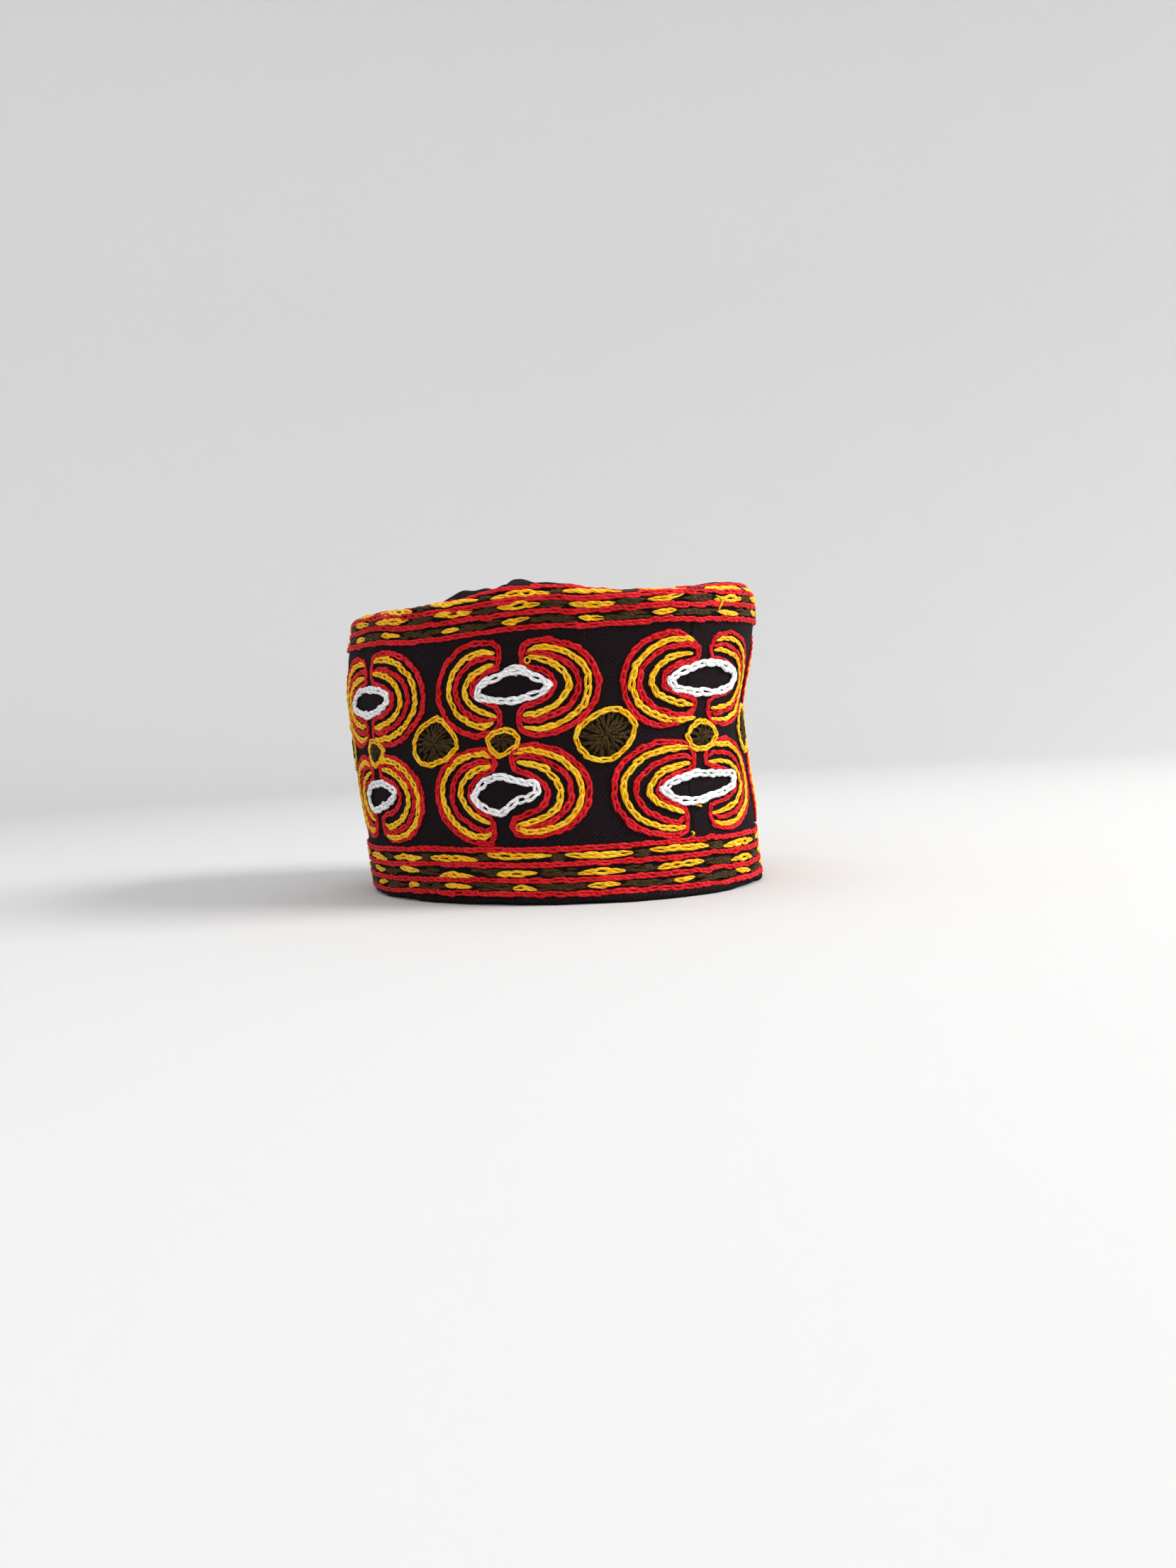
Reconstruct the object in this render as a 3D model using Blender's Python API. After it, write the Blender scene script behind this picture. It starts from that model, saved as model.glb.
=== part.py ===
"""An embroidered cloth cap: a tall oval band, a soft flat crown, a turned-up hem and raised stitched pads.

Metres, +Z up. The cap stands on its hem at Z = 0, its front faces -Y and its wearer's right is -X.
A place on the band is an arc, measured round the cloth from the front and growing towards +X, and a way up
the cloth from the floor. Above the shoulder the way up goes on along the cloth, which rolls inwards there.
"""

import math

import bpy
import numpy as np
from mathutils import Vector
from mathutils.geometry import delaunay_2d_cdt

MM = 0.001

# The oval of the band, taken round its outer face half way up
GIRTH = 570 * MM
LENGTH_TO_WIDTH = 1.265
MIDDLE = 61.5 * MM
FLARE = 0.4
SWAY = 7.2 * MM
SWAY_REACH = 60 * MM

# Cloth
BAND_WALL = 2.2 * MM
CROWN_WALL = 2.0 * MM
HEM_WALL = 1.0 * MM
HEM_CLEARANCE = 0.6 * MM
PAD_WALL = 1.1 * MM
CLEARANCE = 0.4 * MM
PAD_CLEARANCE = 0.8 * MM

# Ways up the cloth
HEM_LIP = 3.2 * MM
HEM_TURN_UP = 15 * MM
BOTTOM_BORDER = (3.0 * MM, 9.5 * MM, 15.8 * MM, 22.9 * MM)
TOP_BORDER = (109.2 * MM, 119 * MM, 121.5 * MM, 124 * MM, 126.9 * MM)
BAND_LEVELS = (3.5, 12, 24, 37, 50, 63, 76, 89, 101, 110, 119, 121.5, 124, 127)
SHOULDER = 119 * MM
SHOULDER_BLEND = 4.0 * MM
EDGE = 127 * MM
CROWN_BEND = 6 * MM
CROWN_SEAM = 0.8 * MM
CROWN_TILT = 94.0

# How far the shoulder leans in, in degrees from upright: it stands up where the crown pulls it
SHOULDER_LEAN = [
    {"arc": -260, "lean": 60},
    {"arc": -225, "lean": 56},
    {"arc": -180, "lean": 76},
    {"arc": -135, "lean": 84},
    {"arc": -112, "lean": 74},
    {"arc": -97, "lean": 56},
    {"arc": -88, "lean": 38},
    {"arc": -72, "lean": 42},
    {"arc": -62, "lean": 52},
    {"arc": -50, "lean": 74},
    {"arc": -40, "lean": 86},
    {"arc": -20, "lean": 86},
    {"arc": -8, "lean": 76},
    {"arc": 4, "lean": 66},
    {"arc": 14, "lean": 56},
    {"arc": 30, "lean": 50},
    {"arc": 45, "lean": 44},
    {"arc": 75, "lean": 56},
    {"arc": 110, "lean": 56},
    {"arc": 160, "lean": 72},
    {"arc": 215, "lean": 58},
]

# Broad hollows that wear has pressed into the wall; one of negative depth is a swell
HOLLOWS = [
    {"arc": 52, "up": 75, "half_arc": 34, "half_up": 16, "depth": 2.6},
    {"arc": 52, "up": 32, "half_arc": 34, "half_up": 14, "depth": -1.4},
    {"arc": 52, "up": 122, "half_arc": 26, "half_up": 7, "depth": 2.2},
    {"arc": -205, "up": 38, "half_arc": 50, "half_up": 30, "depth": 1.5},
    {"arc": -208, "up": 66, "half_arc": 30, "half_up": 10, "depth": 0.8},
    {"arc": -205, "up": 118, "half_arc": 40, "half_up": 10, "depth": 1.2},
]

# The crown's slack: soft ridges and hollows, by arc and by distance in from the edge
CROWN_RISE = 1.0 * MM
CROWN_FOLDS = [
    {"arc": -127, "inset": 15, "half_arc": 14, "half_inset": 10, "rise": 6.4},
    {"arc": -108, "inset": 15, "half_arc": 10, "half_inset": 10, "rise": 4.0},
    {"arc": -85, "inset": 15, "half_arc": 9, "half_inset": 12, "rise": 4.0},
    {"arc": -50, "inset": 24, "half_arc": 22, "half_inset": 16, "rise": -1.6},
    {"arc": 40, "inset": 28, "half_arc": 24, "half_inset": 18, "rise": -2.4},
    {"arc": 120, "inset": 28, "half_arc": 36, "half_inset": 16, "rise": -2.4},
    {"arc": 190, "inset": 34, "half_arc": 24, "half_inset": 15, "rise": 0.4},
    {"arc": -190, "inset": 32, "half_arc": 30, "half_inset": 14, "rise": -1.6},
]

# Seven columns of motifs stand round the band, one every seventh of its girth
COLUMNS = 7
STATIONS = 8 * COLUMNS
COLUMN_PITCH = GIRTH / COLUMNS
FIRST_COLUMN = -3 * MM

# Millimetres: across from the column's own line, and up the cloth.
# The eye is the white lens. A side is a crescent: its farthest point, the place of its highest and lowest
# points, and its two blunt ends beside the gap over and under the eye.
MEDALLIONS = {
    "upper": [
        {
            "eye": {"left": -17, "right": 23.3, "low": 80, "high": 94},
            "left": {"far": -35.5, "apex": -17, "low": 68, "high": 106, "end_high": -2.5, "end_low": -2.3},
            "right": {"far": 38.5, "apex": 16, "low": 67.5, "high": 105.5, "end_high": 4.5, "end_low": 4.2},
        },
        {
            "eye": {"left": -13.4, "right": 20.1, "low": 80, "high": 94.6},
            "left": {"far": -32.5, "apex": -12, "low": 68, "high": 106, "end_high": -2.4, "end_low": -2.6},
            "right": {"far": 39, "apex": 15, "low": 67.2, "high": 105.5, "end_high": 7, "end_low": 6},
        },
        {
            "eye": {"left": -22, "right": 20.9, "low": 78, "high": 92.2},
            "left": {"far": -37, "apex": -16, "low": 66, "high": 105, "end_high": -2, "end_low": -2.2},
            "right": {"far": 42, "apex": 16, "low": 66.4, "high": 105.6, "end_high": 4.6, "end_low": 3.6},
        },
    ],
    "lower": [
        {
            "eye": {"left": -20.3, "right": 21.5, "low": 36.3, "high": 50},
            "left": {"far": -40, "apex": -17, "low": 24.2, "high": 62.5, "end_high": -3.5, "end_low": -9},
            "right": {"far": 36.5, "apex": 14, "low": 24.2, "high": 62.5, "end_high": 2.6, "end_low": 3},
        },
        {
            "eye": {"left": -18, "right": 14.7, "low": 36, "high": 53.5},
            "left": {"far": -37, "apex": -15, "low": 24.6, "high": 63.6, "end_high": -4.8, "end_low": -9},
            "right": {"far": 34, "apex": 10, "low": 27.3, "high": 64, "end_high": 1.8, "end_low": -0.6},
        },
        {
            "eye": {"left": -12.5, "right": 21, "low": 36.8, "high": 51.4},
            "left": {"far": -34, "apex": -14, "low": 26, "high": 61.8, "end_high": -1, "end_low": -3.4},
            "right": {"far": 37.4, "apex": 15, "low": 24.6, "high": 61.8, "end_high": 6.4, "end_low": 2.6},
        },
    ],
}
SMALL_DISCS = [
    {"across": 1.4, "up": 65.0, "half_width": 8.2, "half_height": 5.0},
    {"across": -1.6, "up": 65.8, "half_width": 7.15, "half_height": 4.5},
    {"across": 4.0, "up": 64.9, "half_width": 7.05, "half_height": 3.85},
]
# Each stands half way to the next column, towards +X
LARGE_DISCS = [
    {"across": 0.8, "up": 65.4, "half_width": 12.4, "half_height": 10.4},
    {"across": -0.5, "up": 66.4, "half_width": 12.6, "half_height": 10.4},
    {"across": 5.6, "up": 66.4, "half_width": 12.2, "half_height": 9.6},
]
# Which chart each column follows, from the front column towards +X and on round
COLUMN_CHARTS = (0, 1, 0, 1, 0, 2, 1)

EYE_MARGIN = 1.6 * MM
EYE_INSIDE = 2.6 * MM
EYE_STEPS = 12
OUTLINE_STEPS = 11
END_ANGLE = 140.0
FIELD_STEPS = 7
FIELD_ANGLE = 96.0
FIELD_ROOM = 2.5
DISC_SIDES = 12
DISC_INSET = 0.8
DISC_POWER = 1.7

# Colours of thread and cloth
CLOTH_BLACK = (0.012, 0.010, 0.012)
THREAD_RED = (0.55, 0.012, 0.022)
THREAD_YELLOW = (0.85, 0.48, 0.02)
THREAD_OLIVE = (0.045, 0.038, 0.012)


def half_axes():
    """The oval's half width and half length, from its girth and its proportion."""
    turn = np.linspace(0.0, 2.0 * math.pi, 2001)
    speed = np.hypot(np.cos(turn), LENGTH_TO_WIDTH * np.sin(turn))
    around = np.sum((speed[1:] + speed[:-1]) * np.diff(turn)) / 2.0
    half_width = GIRTH / around
    return half_width, half_width * LENGTH_TO_WIDTH


HALF_WIDTH, HALF_LENGTH = half_axes()


def turn_of(arc):
    """The oval's angle from the front at this arc."""
    turn = np.linspace(-math.pi, math.pi, 2001)
    speed = np.hypot(HALF_WIDTH * np.cos(turn), HALF_LENGTH * np.sin(turn))
    lengths = np.concatenate([[0.0], np.cumsum((speed[1:] + speed[:-1]) * np.diff(turn) / 2.0)])
    lengths = lengths - lengths[-1] / 2.0
    wrapped = np.mod(arc + GIRTH / 2.0, GIRTH) - GIRTH / 2.0
    return np.interp(wrapped, lengths, turn)


def smooth(value):
    value = np.clip(value, 0.0, 1.0)
    return value * value * (3.0 - 2.0 * value)


def lean_of(arc):
    """The shoulder's lean at this arc, in radians, blended between the table's rows."""
    arcs = np.array([row["arc"] for row in SHOULDER_LEAN]) * MM
    leans = np.radians([row["lean"] for row in SHOULDER_LEAN])
    arcs = np.concatenate([arcs, [arcs[0] + GIRTH]])
    leans = np.concatenate([leans, [leans[0]]])
    place = np.mod(arc - arcs[0], GIRTH) + arcs[0]
    row = np.clip(np.searchsorted(arcs, place, side="right") - 1, 0, len(arcs) - 2)
    part = smooth((place - arcs[row]) / (arcs[row + 1] - arcs[row]))
    return leans[row] + (leans[row + 1] - leans[row]) * part


def shoulder_run(arc, up):
    """How far the cloth has risen and gone inwards above the shoulder line, this far along it."""
    steps = 24
    along = np.maximum(up - SHOULDER, 0.0)
    lean = lean_of(arc)
    last = math.radians(CROWN_TILT)
    rise = np.zeros_like(along)
    inward = np.zeros_like(along)
    for step in range(steps):
        place = along * (step + 0.5) / steps
        tilt = lean * smooth(place / SHOULDER_BLEND)
        tilt = tilt + (last - tilt) * smooth((place + SHOULDER - EDGE) / CROWN_BEND)
        rise = rise + np.cos(tilt) * along / steps
        inward = inward + np.sin(tilt) * along / steps
    return rise, inward


def hollow_depth(arc, up):
    """How far the wall is pressed in here."""
    depth = np.zeros(np.broadcast(arc, up).shape)
    for hollow in HOLLOWS:
        apart = np.mod(arc - hollow["arc"] * MM + GIRTH / 2.0, GIRTH) - GIRTH / 2.0
        beside = apart / (hollow["half_arc"] * MM)
        above = (up - hollow["up"] * MM) / (hollow["half_up"] * MM)
        depth = depth + hollow["depth"] * MM * np.exp(-(beside**2) - above**2)
    return depth


def outer_face(arc, up):
    """A point of the cloth's outer face."""
    rise, inward = shoulder_run(arc, up)
    inward = inward + hollow_depth(arc, up)
    height = np.minimum(up, SHOULDER) + rise
    turn = turn_of(arc)
    scale = 1.0 + FLARE * (height - MIDDLE)
    across = np.sin(turn)
    along = -np.cos(turn)
    normal = np.hypot(across / HALF_WIDTH, along / HALF_LENGTH)
    sway = SWAY * np.clip(1.0 - ((height - MIDDLE) / SWAY_REACH) ** 2, 0.0, 1.0)
    x = HALF_WIDTH * across * scale - inward * across / HALF_WIDTH / normal
    y = HALF_LENGTH * along * scale - inward * along / HALF_LENGTH / normal + sway
    return np.stack([x, y, height], axis=-1)


def cloth_point(arc, up, outward=0.0):
    """A point this far out from the cloth's outer face, square to it."""
    arc, up, outward = np.broadcast_arrays(arc, up, outward)
    step = 0.4 * MM
    side = outer_face(arc + step, up) - outer_face(arc - step, up)
    rise = outer_face(arc, up + step) - outer_face(arc, up - step)
    normal = np.cross(side, rise)
    normal = normal / np.linalg.norm(normal, axis=-1, keepdims=True)
    return outer_face(arc, up) + normal * outward[..., None]


def station_arcs():
    return np.arange(STATIONS) * GIRTH / STATIONS


def make_material(name, colour, roughness):
    material = bpy.data.materials.new(name)
    material.use_nodes = True
    shader = material.node_tree.nodes["Principled BSDF"]
    shader.inputs["Base Color"].default_value = (*colour, 1.0)
    shader.inputs["Roughness"].default_value = roughness
    shader.inputs["Metallic"].default_value = 0.0
    material.diffuse_color = (*colour, 1.0)
    return material


def add_object(name, points, faces, material):
    mesh = bpy.data.meshes.new(name)
    mesh.from_pydata([tuple(point) for point in points], [], faces)
    mesh.update()
    mesh.materials.append(material)
    mesh.shade_smooth()
    mesh.set_sharp_from_angle(angle=math.radians(35.0))
    made = bpy.data.objects.new(name, mesh)
    bpy.context.scene.collection.objects.link(made)
    return made


def looped_solid(name, loops, material):
    """A solid from closed loops of equal count, each joined to the next and the last to the first."""
    rows = len(loops)
    count = len(loops[0])
    faces = []
    for row in range(rows):
        here = row * count
        there = ((row + 1) % rows) * count
        for step in range(count):
            after = (step + 1) % count
            faces.append((here + step, here + after, there + after, there + step))
    return add_object(name, np.concatenate(loops), faces, material)


def capped_solid(name, outer_loops, outer_pole, inner_loops, inner_pole, material):
    """A solid disc of cloth: loops from the edge in, closed by a pole on its outer and on its inner face."""
    loops = list(inner_loops[::-1]) + list(outer_loops)
    count = len(loops[0])
    points = np.concatenate(loops + [outer_pole[None], inner_pole[None]])
    outer_index = len(points) - 2
    inner_index = len(points) - 1
    faces = []
    for row in range(len(loops) - 1):
        here = row * count
        there = here + count
        for step in range(count):
            after = (step + 1) % count
            faces.append((here + step, here + after, there + after, there + step))
    last = (len(loops) - 1) * count
    for step in range(count):
        after = (step + 1) % count
        faces.append((last + step, last + after, outer_index))
        faces.append((after, step, inner_index))
    return add_object(name, points, faces, material)


def make_band(material):
    """The upright wall of the cap, up to the edge that the crown is sewn to."""
    arcs = station_arcs()
    levels = [level * MM for level in BAND_LEVELS]
    outside = [cloth_point(arcs, level) for level in levels]
    inside = [cloth_point(arcs, level, -BAND_WALL) for level in reversed(levels)]
    outside[0][:, 2] = levels[0]
    inside[-1][:, 2] = levels[0]
    return looped_solid("band", outside + inside, material)


def make_ring(name, levels, material):
    """A border of stitching: a low ring that lies on the cloth between its lowest and highest level."""
    arcs = station_arcs()
    outside = [cloth_point(arcs, level, CLEARANCE + PAD_WALL) for level in levels]
    inside = [cloth_point(arcs, level, CLEARANCE) for level in reversed(levels)]
    return looped_solid(name, outside + inside, material)


def make_hem(material):
    """The band's lower edge, turned in and up: a flat lip under the wall and a leg inside it."""
    arcs = station_arcs()
    leg_outer = -(BAND_WALL + HEM_CLEARANCE)
    leg_inner = leg_outer - HEM_WALL
    section = [
        {"outward": 0.0, "height": 0.0},
        {"outward": 0.0, "height": HEM_LIP},
        {"outward": leg_outer, "height": HEM_LIP},
        {"outward": leg_outer, "height": HEM_TURN_UP},
        {"outward": leg_inner, "height": HEM_TURN_UP},
        {"outward": leg_inner, "height": 0.0},
    ]
    loops = []
    for corner in section:
        loop = cloth_point(arcs, corner["height"], corner["outward"])
        loop[:, 2] = corner["height"]
        loops.append(loop)
    return looped_solid("hem", loops, material)


def fold_height(arcs, inset):
    """How far the slack of the crown lifts it here."""
    height = np.zeros_like(arcs)
    for fold in CROWN_FOLDS:
        apart = np.mod(arcs - fold["arc"] * MM + GIRTH / 2.0, GIRTH) - GIRTH / 2.0
        beside = apart / (fold["half_arc"] * MM)
        inwards = (inset - fold["inset"] * MM) / (fold["half_inset"] * MM)
        height = height + fold["rise"] * MM * np.exp(-(beside**2) - inwards**2)
    return height


def crown_loop(share, outward):
    """A loop of the crown's soft field: share is 0 at the bend by the edge and 1 in the middle."""
    arcs = station_arcs()
    start = cloth_point(arcs, EDGE + CROWN_BEND, outward)
    middle = start.mean(axis=0)
    loop = start + (middle - start) * share
    inset = np.linalg.norm(loop[:, :2] - start[:, :2], axis=1) + CROWN_BEND
    dome = start[:, 2].mean() + CROWN_RISE * smooth(np.full(len(arcs), share) ** 0.8)
    loop[:, 2] = start[:, 2] + (dome - start[:, 2]) * smooth(np.full(len(arcs), share * 1.4))
    loop[:, 2] += fold_height(arcs, inset) * smooth(np.full(len(arcs), share * 6.0))
    return loop


def make_crown(material):
    """The flat top: cloth that comes over the shoulder and lies slack, with two soft ridges."""
    arcs = station_arcs()
    shares = (0.14, 0.3, 0.5, 0.75)
    faces = []
    for outward in (0.0, -CROWN_WALL):
        loops = [cloth_point(arcs, EDGE + way, outward) for way in (CROWN_SEAM, CROWN_BEND / 2.0)]
        loops.append(cloth_point(arcs, EDGE + CROWN_BEND, outward))
        loops += [crown_loop(share, outward) for share in shares]
        pole = crown_loop(1.0, outward).mean(axis=0)
        faces.append((loops, pole))
    (outer, outer_pole), (inner, inner_pole) = faces
    return capped_solid("crown", outer, outer_pole, inner, inner_pole, material)


def column_arc(column):
    return FIRST_COLUMN + column * COLUMN_PITCH


def crescent_point(eye, side, angle, share):
    """A point of a crescent: angle 0 is its farthest point, share 0 is beside the eye and 1 is its outline."""
    eye_middle = (eye["left"] + eye["right"]) / 2.0
    near = eye["right"] if side["far"] > eye_middle else eye["left"]
    margin = math.copysign(EYE_MARGIN / MM, side["far"] - eye_middle)
    middle = eye_middle + (side["apex"] - eye_middle) * share
    reach = (near + margin - eye_middle) * (1.0 - share) + (side["far"] - side["apex"]) * share
    level = (eye["low"] + eye["high"]) / 2.0
    level = level + ((side["low"] + side["high"]) / 2.0 - level) * share
    half_eye = (eye["high"] - eye["low"]) / 2.0 + EYE_MARGIN / MM
    half_height = half_eye + ((side["high"] - side["low"]) / 2.0 - half_eye) * share
    across = middle + reach * math.cos(angle)
    up = level + half_height * math.sin(angle)
    end = side["end_high"] if angle > 0.0 else side["end_low"]
    across = max(across, end) if margin > 0.0 else min(across, end)
    return across, up


def medallion_outline(chart):
    """The outline, clockwise: each crescent, with a notch over and one under the eye between their blunt ends."""
    eye = chart["eye"]
    eye_level = (eye["low"] + eye["high"]) / 2.0
    notch = (eye["high"] - eye["low"]) / 2.0 + EYE_MARGIN / MM
    angles = np.radians(np.linspace(END_ANGLE, -END_ANGLE, OUTLINE_STEPS))
    outline = [crescent_point(eye, chart["right"], angle, 1.0) for angle in angles]
    outline += [(chart[name]["end_low"], eye_level - notch) for name in ("right", "left")]
    outline += [crescent_point(eye, chart["left"], -angle, 1.0) for angle in angles]
    outline += [(chart[name]["end_high"], eye_level + notch) for name in ("left", "right")]
    return outline


def eye_outline(chart):
    """The hole's outline."""
    eye = chart["eye"]
    half_width = (eye["right"] - eye["left"]) / 2.0 - EYE_INSIDE / MM
    half_height = (eye["high"] - eye["low"]) / 2.0 - EYE_INSIDE / MM
    turn = np.linspace(0.0, 2.0 * math.pi, EYE_STEPS, endpoint=False)
    across = (eye["left"] + eye["right"]) / 2.0 + half_width * np.cos(turn)
    up = (eye["low"] + eye["high"]) / 2.0 + half_height * np.sin(turn)
    return list(zip(across, up))


def inside(outline, point):
    """Whether a point of the chart is inside a closed outline."""
    ends = np.array(outline)
    starts = np.roll(ends, 1, axis=0)
    crosses = (starts[:, 1] > point[1]) != (ends[:, 1] > point[1])
    rise = np.where(crosses, ends[:, 1] - starts[:, 1], 1.0)
    meets = starts[:, 0] + (point[1] - starts[:, 1]) / rise * (ends[:, 0] - starts[:, 0])
    return bool(np.sum(crosses & (meets > point[0])) % 2)


def room_round(outline, point):
    """How far a point of the chart is from the nearest side of an outline."""
    ends = np.array(outline)
    starts = np.roll(ends, 1, axis=0)
    run = ends - starts
    share = np.sum((point - starts) * run, axis=1) / np.sum(run * run, axis=1)
    nearest = starts + run * np.clip(share, 0.0, 1.0)[:, None]
    return np.min(np.linalg.norm(nearest - point, axis=1))


def medallion_faces(chart):
    """Points and triangles of the medallion on the flat chart, all turned the same way."""
    outline = medallion_outline(chart)
    hole = eye_outline(chart)
    angles = np.radians(np.linspace(FIELD_ANGLE, -FIELD_ANGLE, FIELD_STEPS))
    field = [crescent_point(chart["eye"], chart[name], angle, 0.5) for name in ("right", "left")
             for angle in (angles if name == "right" else -angles)]
    field = [point for point in field
             if inside(outline, point) and min(room_round(outline, point), room_round(hole, point)) > FIELD_ROOM]
    edges = [(index, (index + 1) % len(outline)) for index in range(len(outline))]
    edges += [(len(outline) + index, len(outline) + (index + 1) % len(hole)) for index in range(len(hole))]
    found = delaunay_2d_cdt([Vector(point) for point in outline + hole + field], edges, [], 0, 0.001)
    points = np.array([tuple(point) for point in found[0]])
    faces = []
    for corners in found[2]:
        middle = points[list(corners)].mean(axis=0)
        if inside(outline, middle) and not inside(hole, middle):
            first, second, third = points[list(corners)]
            turned = np.cross(second - first, third - first) > 0.0
            faces.append(tuple(corners) if turned else tuple(reversed(corners)))
    return points * MM, faces


def make_medallion(name, column, chart, material):
    """A stitched rosette: a pad with two crescents round an open eye."""
    flat, faces = medallion_faces(chart)
    arc = column_arc(column)
    count = len(flat)
    top = cloth_point(arc + flat[:, 0], flat[:, 1], PAD_CLEARANCE + PAD_WALL)
    under = cloth_point(arc + flat[:, 0], flat[:, 1], PAD_CLEARANCE)
    solid = list(faces)
    solid += [tuple(corner + count for corner in reversed(face)) for face in faces]
    sides = {(face[index], face[(index + 1) % 3]) for face in faces for index in range(3)}
    for start, end in sorted(sides):
        if (end, start) not in sides:
            solid.append((end, start, start + count, end + count))
    return add_object(name, np.concatenate([top, under]), solid, material)


def make_disc(name, arc, chart, shares, material):
    """A disc of stitching: its outline is between a round and a diamond."""
    turn = np.linspace(0.0, 2.0 * math.pi, DISC_SIDES, endpoint=False)
    across = np.sign(np.cos(turn)) * np.abs(np.cos(turn)) ** (2.0 / DISC_POWER)
    up = np.sign(np.sin(turn)) * np.abs(np.sin(turn)) ** (2.0 / DISC_POWER)
    sides = []
    for outward in (PAD_CLEARANCE + PAD_WALL, PAD_CLEARANCE):
        loops = []
        for share in shares:
            arcs = arc + (chart["across"] + across * (chart["half_width"] - DISC_INSET) * share) * MM
            ups = (chart["up"] + up * (chart["half_height"] - DISC_INSET) * share) * MM
            loops.append(cloth_point(arcs, ups, outward))
        pole = cloth_point(arc + chart["across"] * MM, chart["up"] * MM, outward)
        sides.append((loops, pole))
    (outer, outer_pole), (inner, inner_pole) = sides
    return capped_solid(name, outer, outer_pole, inner, inner_pole, material)


def stand_on_origin(objects):
    """Moves every mesh so that the middle of the whole footprint is at the origin."""
    points = np.array([vertex.co for made in objects for vertex in made.data.vertices])
    middle = (points.min(axis=0) + points.max(axis=0)) / 2.0
    for made in objects:
        for vertex in made.data.vertices:
            vertex.co.x -= middle[0]
            vertex.co.y -= middle[1]


def main():
    for old in list(bpy.data.objects):
        bpy.data.objects.remove(old, do_unlink=True)
    black = make_material("black_cloth", CLOTH_BLACK, 0.92)
    red = make_material("red_thread", THREAD_RED, 0.6)
    yellow = make_material("yellow_thread", THREAD_YELLOW, 0.55)
    olive = make_material("olive_thread", THREAD_OLIVE, 0.85)
    made = [make_band(black), make_crown(black), make_hem(black)]
    made.append(make_ring("top_border", TOP_BORDER, red))
    made.append(make_ring("bottom_border", BOTTOM_BORDER, red))
    for column, chart in enumerate(COLUMN_CHARTS):
        number = column + 1
        for row in ("upper", "lower"):
            material = red if row == "upper" else yellow
            made.append(make_medallion(f"medallion_{row}_{number}", column, MEDALLIONS[row][chart], material))
        made.append(make_disc(f"small_disc_{number}", column_arc(column), SMALL_DISCS[chart], (1.0,), olive))
        between = column_arc(column) + COLUMN_PITCH / 2.0
        made.append(make_disc(f"large_disc_{number}", between, LARGE_DISCS[chart], (1.0, 0.5), olive))
    stand_on_origin(made)


main()
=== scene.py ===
# %% [markdown]
# # A chain-stitched cap
# This lesson dresses a plain model of a tall cloth cap. The real cap is black cotton twill, sewn into an
# oval band with a flat soft crown, and worked by hand in thick yarn. Nearly every line on it is a chain
# stitch: a row of loops, each held down by the next. The loops catch the light one by one, so they are made
# here as real loops of yarn, not as a printed pattern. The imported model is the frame: it gives the place
# and size of every piece.

# %% Load the frame
import math
from functools import partial

import bpy
import numpy as np
from mathutils import Matrix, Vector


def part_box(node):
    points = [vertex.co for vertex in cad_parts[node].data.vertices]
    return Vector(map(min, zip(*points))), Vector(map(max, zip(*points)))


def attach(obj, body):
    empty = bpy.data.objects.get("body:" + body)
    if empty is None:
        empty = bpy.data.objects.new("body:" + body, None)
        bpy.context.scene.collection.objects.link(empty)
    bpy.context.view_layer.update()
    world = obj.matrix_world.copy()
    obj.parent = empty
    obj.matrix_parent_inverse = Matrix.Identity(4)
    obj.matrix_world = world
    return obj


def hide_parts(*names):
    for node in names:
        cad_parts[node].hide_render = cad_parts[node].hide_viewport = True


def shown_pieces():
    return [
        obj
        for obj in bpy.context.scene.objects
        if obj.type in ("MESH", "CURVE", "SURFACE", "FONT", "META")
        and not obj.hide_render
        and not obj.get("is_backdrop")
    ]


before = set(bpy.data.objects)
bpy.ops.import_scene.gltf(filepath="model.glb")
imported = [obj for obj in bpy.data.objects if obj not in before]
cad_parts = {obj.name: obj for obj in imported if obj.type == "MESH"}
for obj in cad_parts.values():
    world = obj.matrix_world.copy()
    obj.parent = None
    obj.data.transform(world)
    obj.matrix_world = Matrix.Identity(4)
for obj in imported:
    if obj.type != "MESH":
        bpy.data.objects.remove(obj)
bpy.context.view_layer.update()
MM = 0.001
SEED = 57
hand = np.random.default_rng(SEED)

# %% [markdown]
# ## The shape of the cloth
# The wall is an oval that widens a little upwards and leans back half way up, as a soft cap does when it
# has taken the shape of a head. Above the shoulder the cloth rolls inwards, more in some places than in
# others. A place on the wall is an arc round from the front and a way up the cloth, so that a pattern can
# be charted flat, as a maker would draw it, and laid on the wall afterwards.

# %% The oval
GIRTH = 570 * MM
GIRTH_MM = GIRTH / MM
LENGTH_TO_WIDTH = 1.265


def half_axes():
    """The oval's half width and half length, from its girth and its proportion."""
    turn = np.linspace(0.0, 2.0 * math.pi, 2001)
    speed = np.hypot(np.cos(turn), LENGTH_TO_WIDTH * np.sin(turn))
    around = np.sum((speed[1:] + speed[:-1]) * np.diff(turn)) / 2.0
    return GIRTH / around, GIRTH / around * LENGTH_TO_WIDTH


HALF_WIDTH, HALF_LENGTH = half_axes()
print("the oval is", round(2 * HALF_WIDTH / MM), "by", round(2 * HALF_LENGTH / MM), "mm")

# %% Arcs round the oval


def smooth(value):
    """Rises softly from 0 to 1."""
    value = np.clip(value, 0.0, 1.0)
    return value * value * (3.0 - 2.0 * value)


def apart(arc, centre):
    """How far an arc lies from a centre in millimetres, the shorter way round."""
    return np.mod(arc - centre * MM + GIRTH / 2.0, GIRTH) - GIRTH / 2.0


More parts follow.
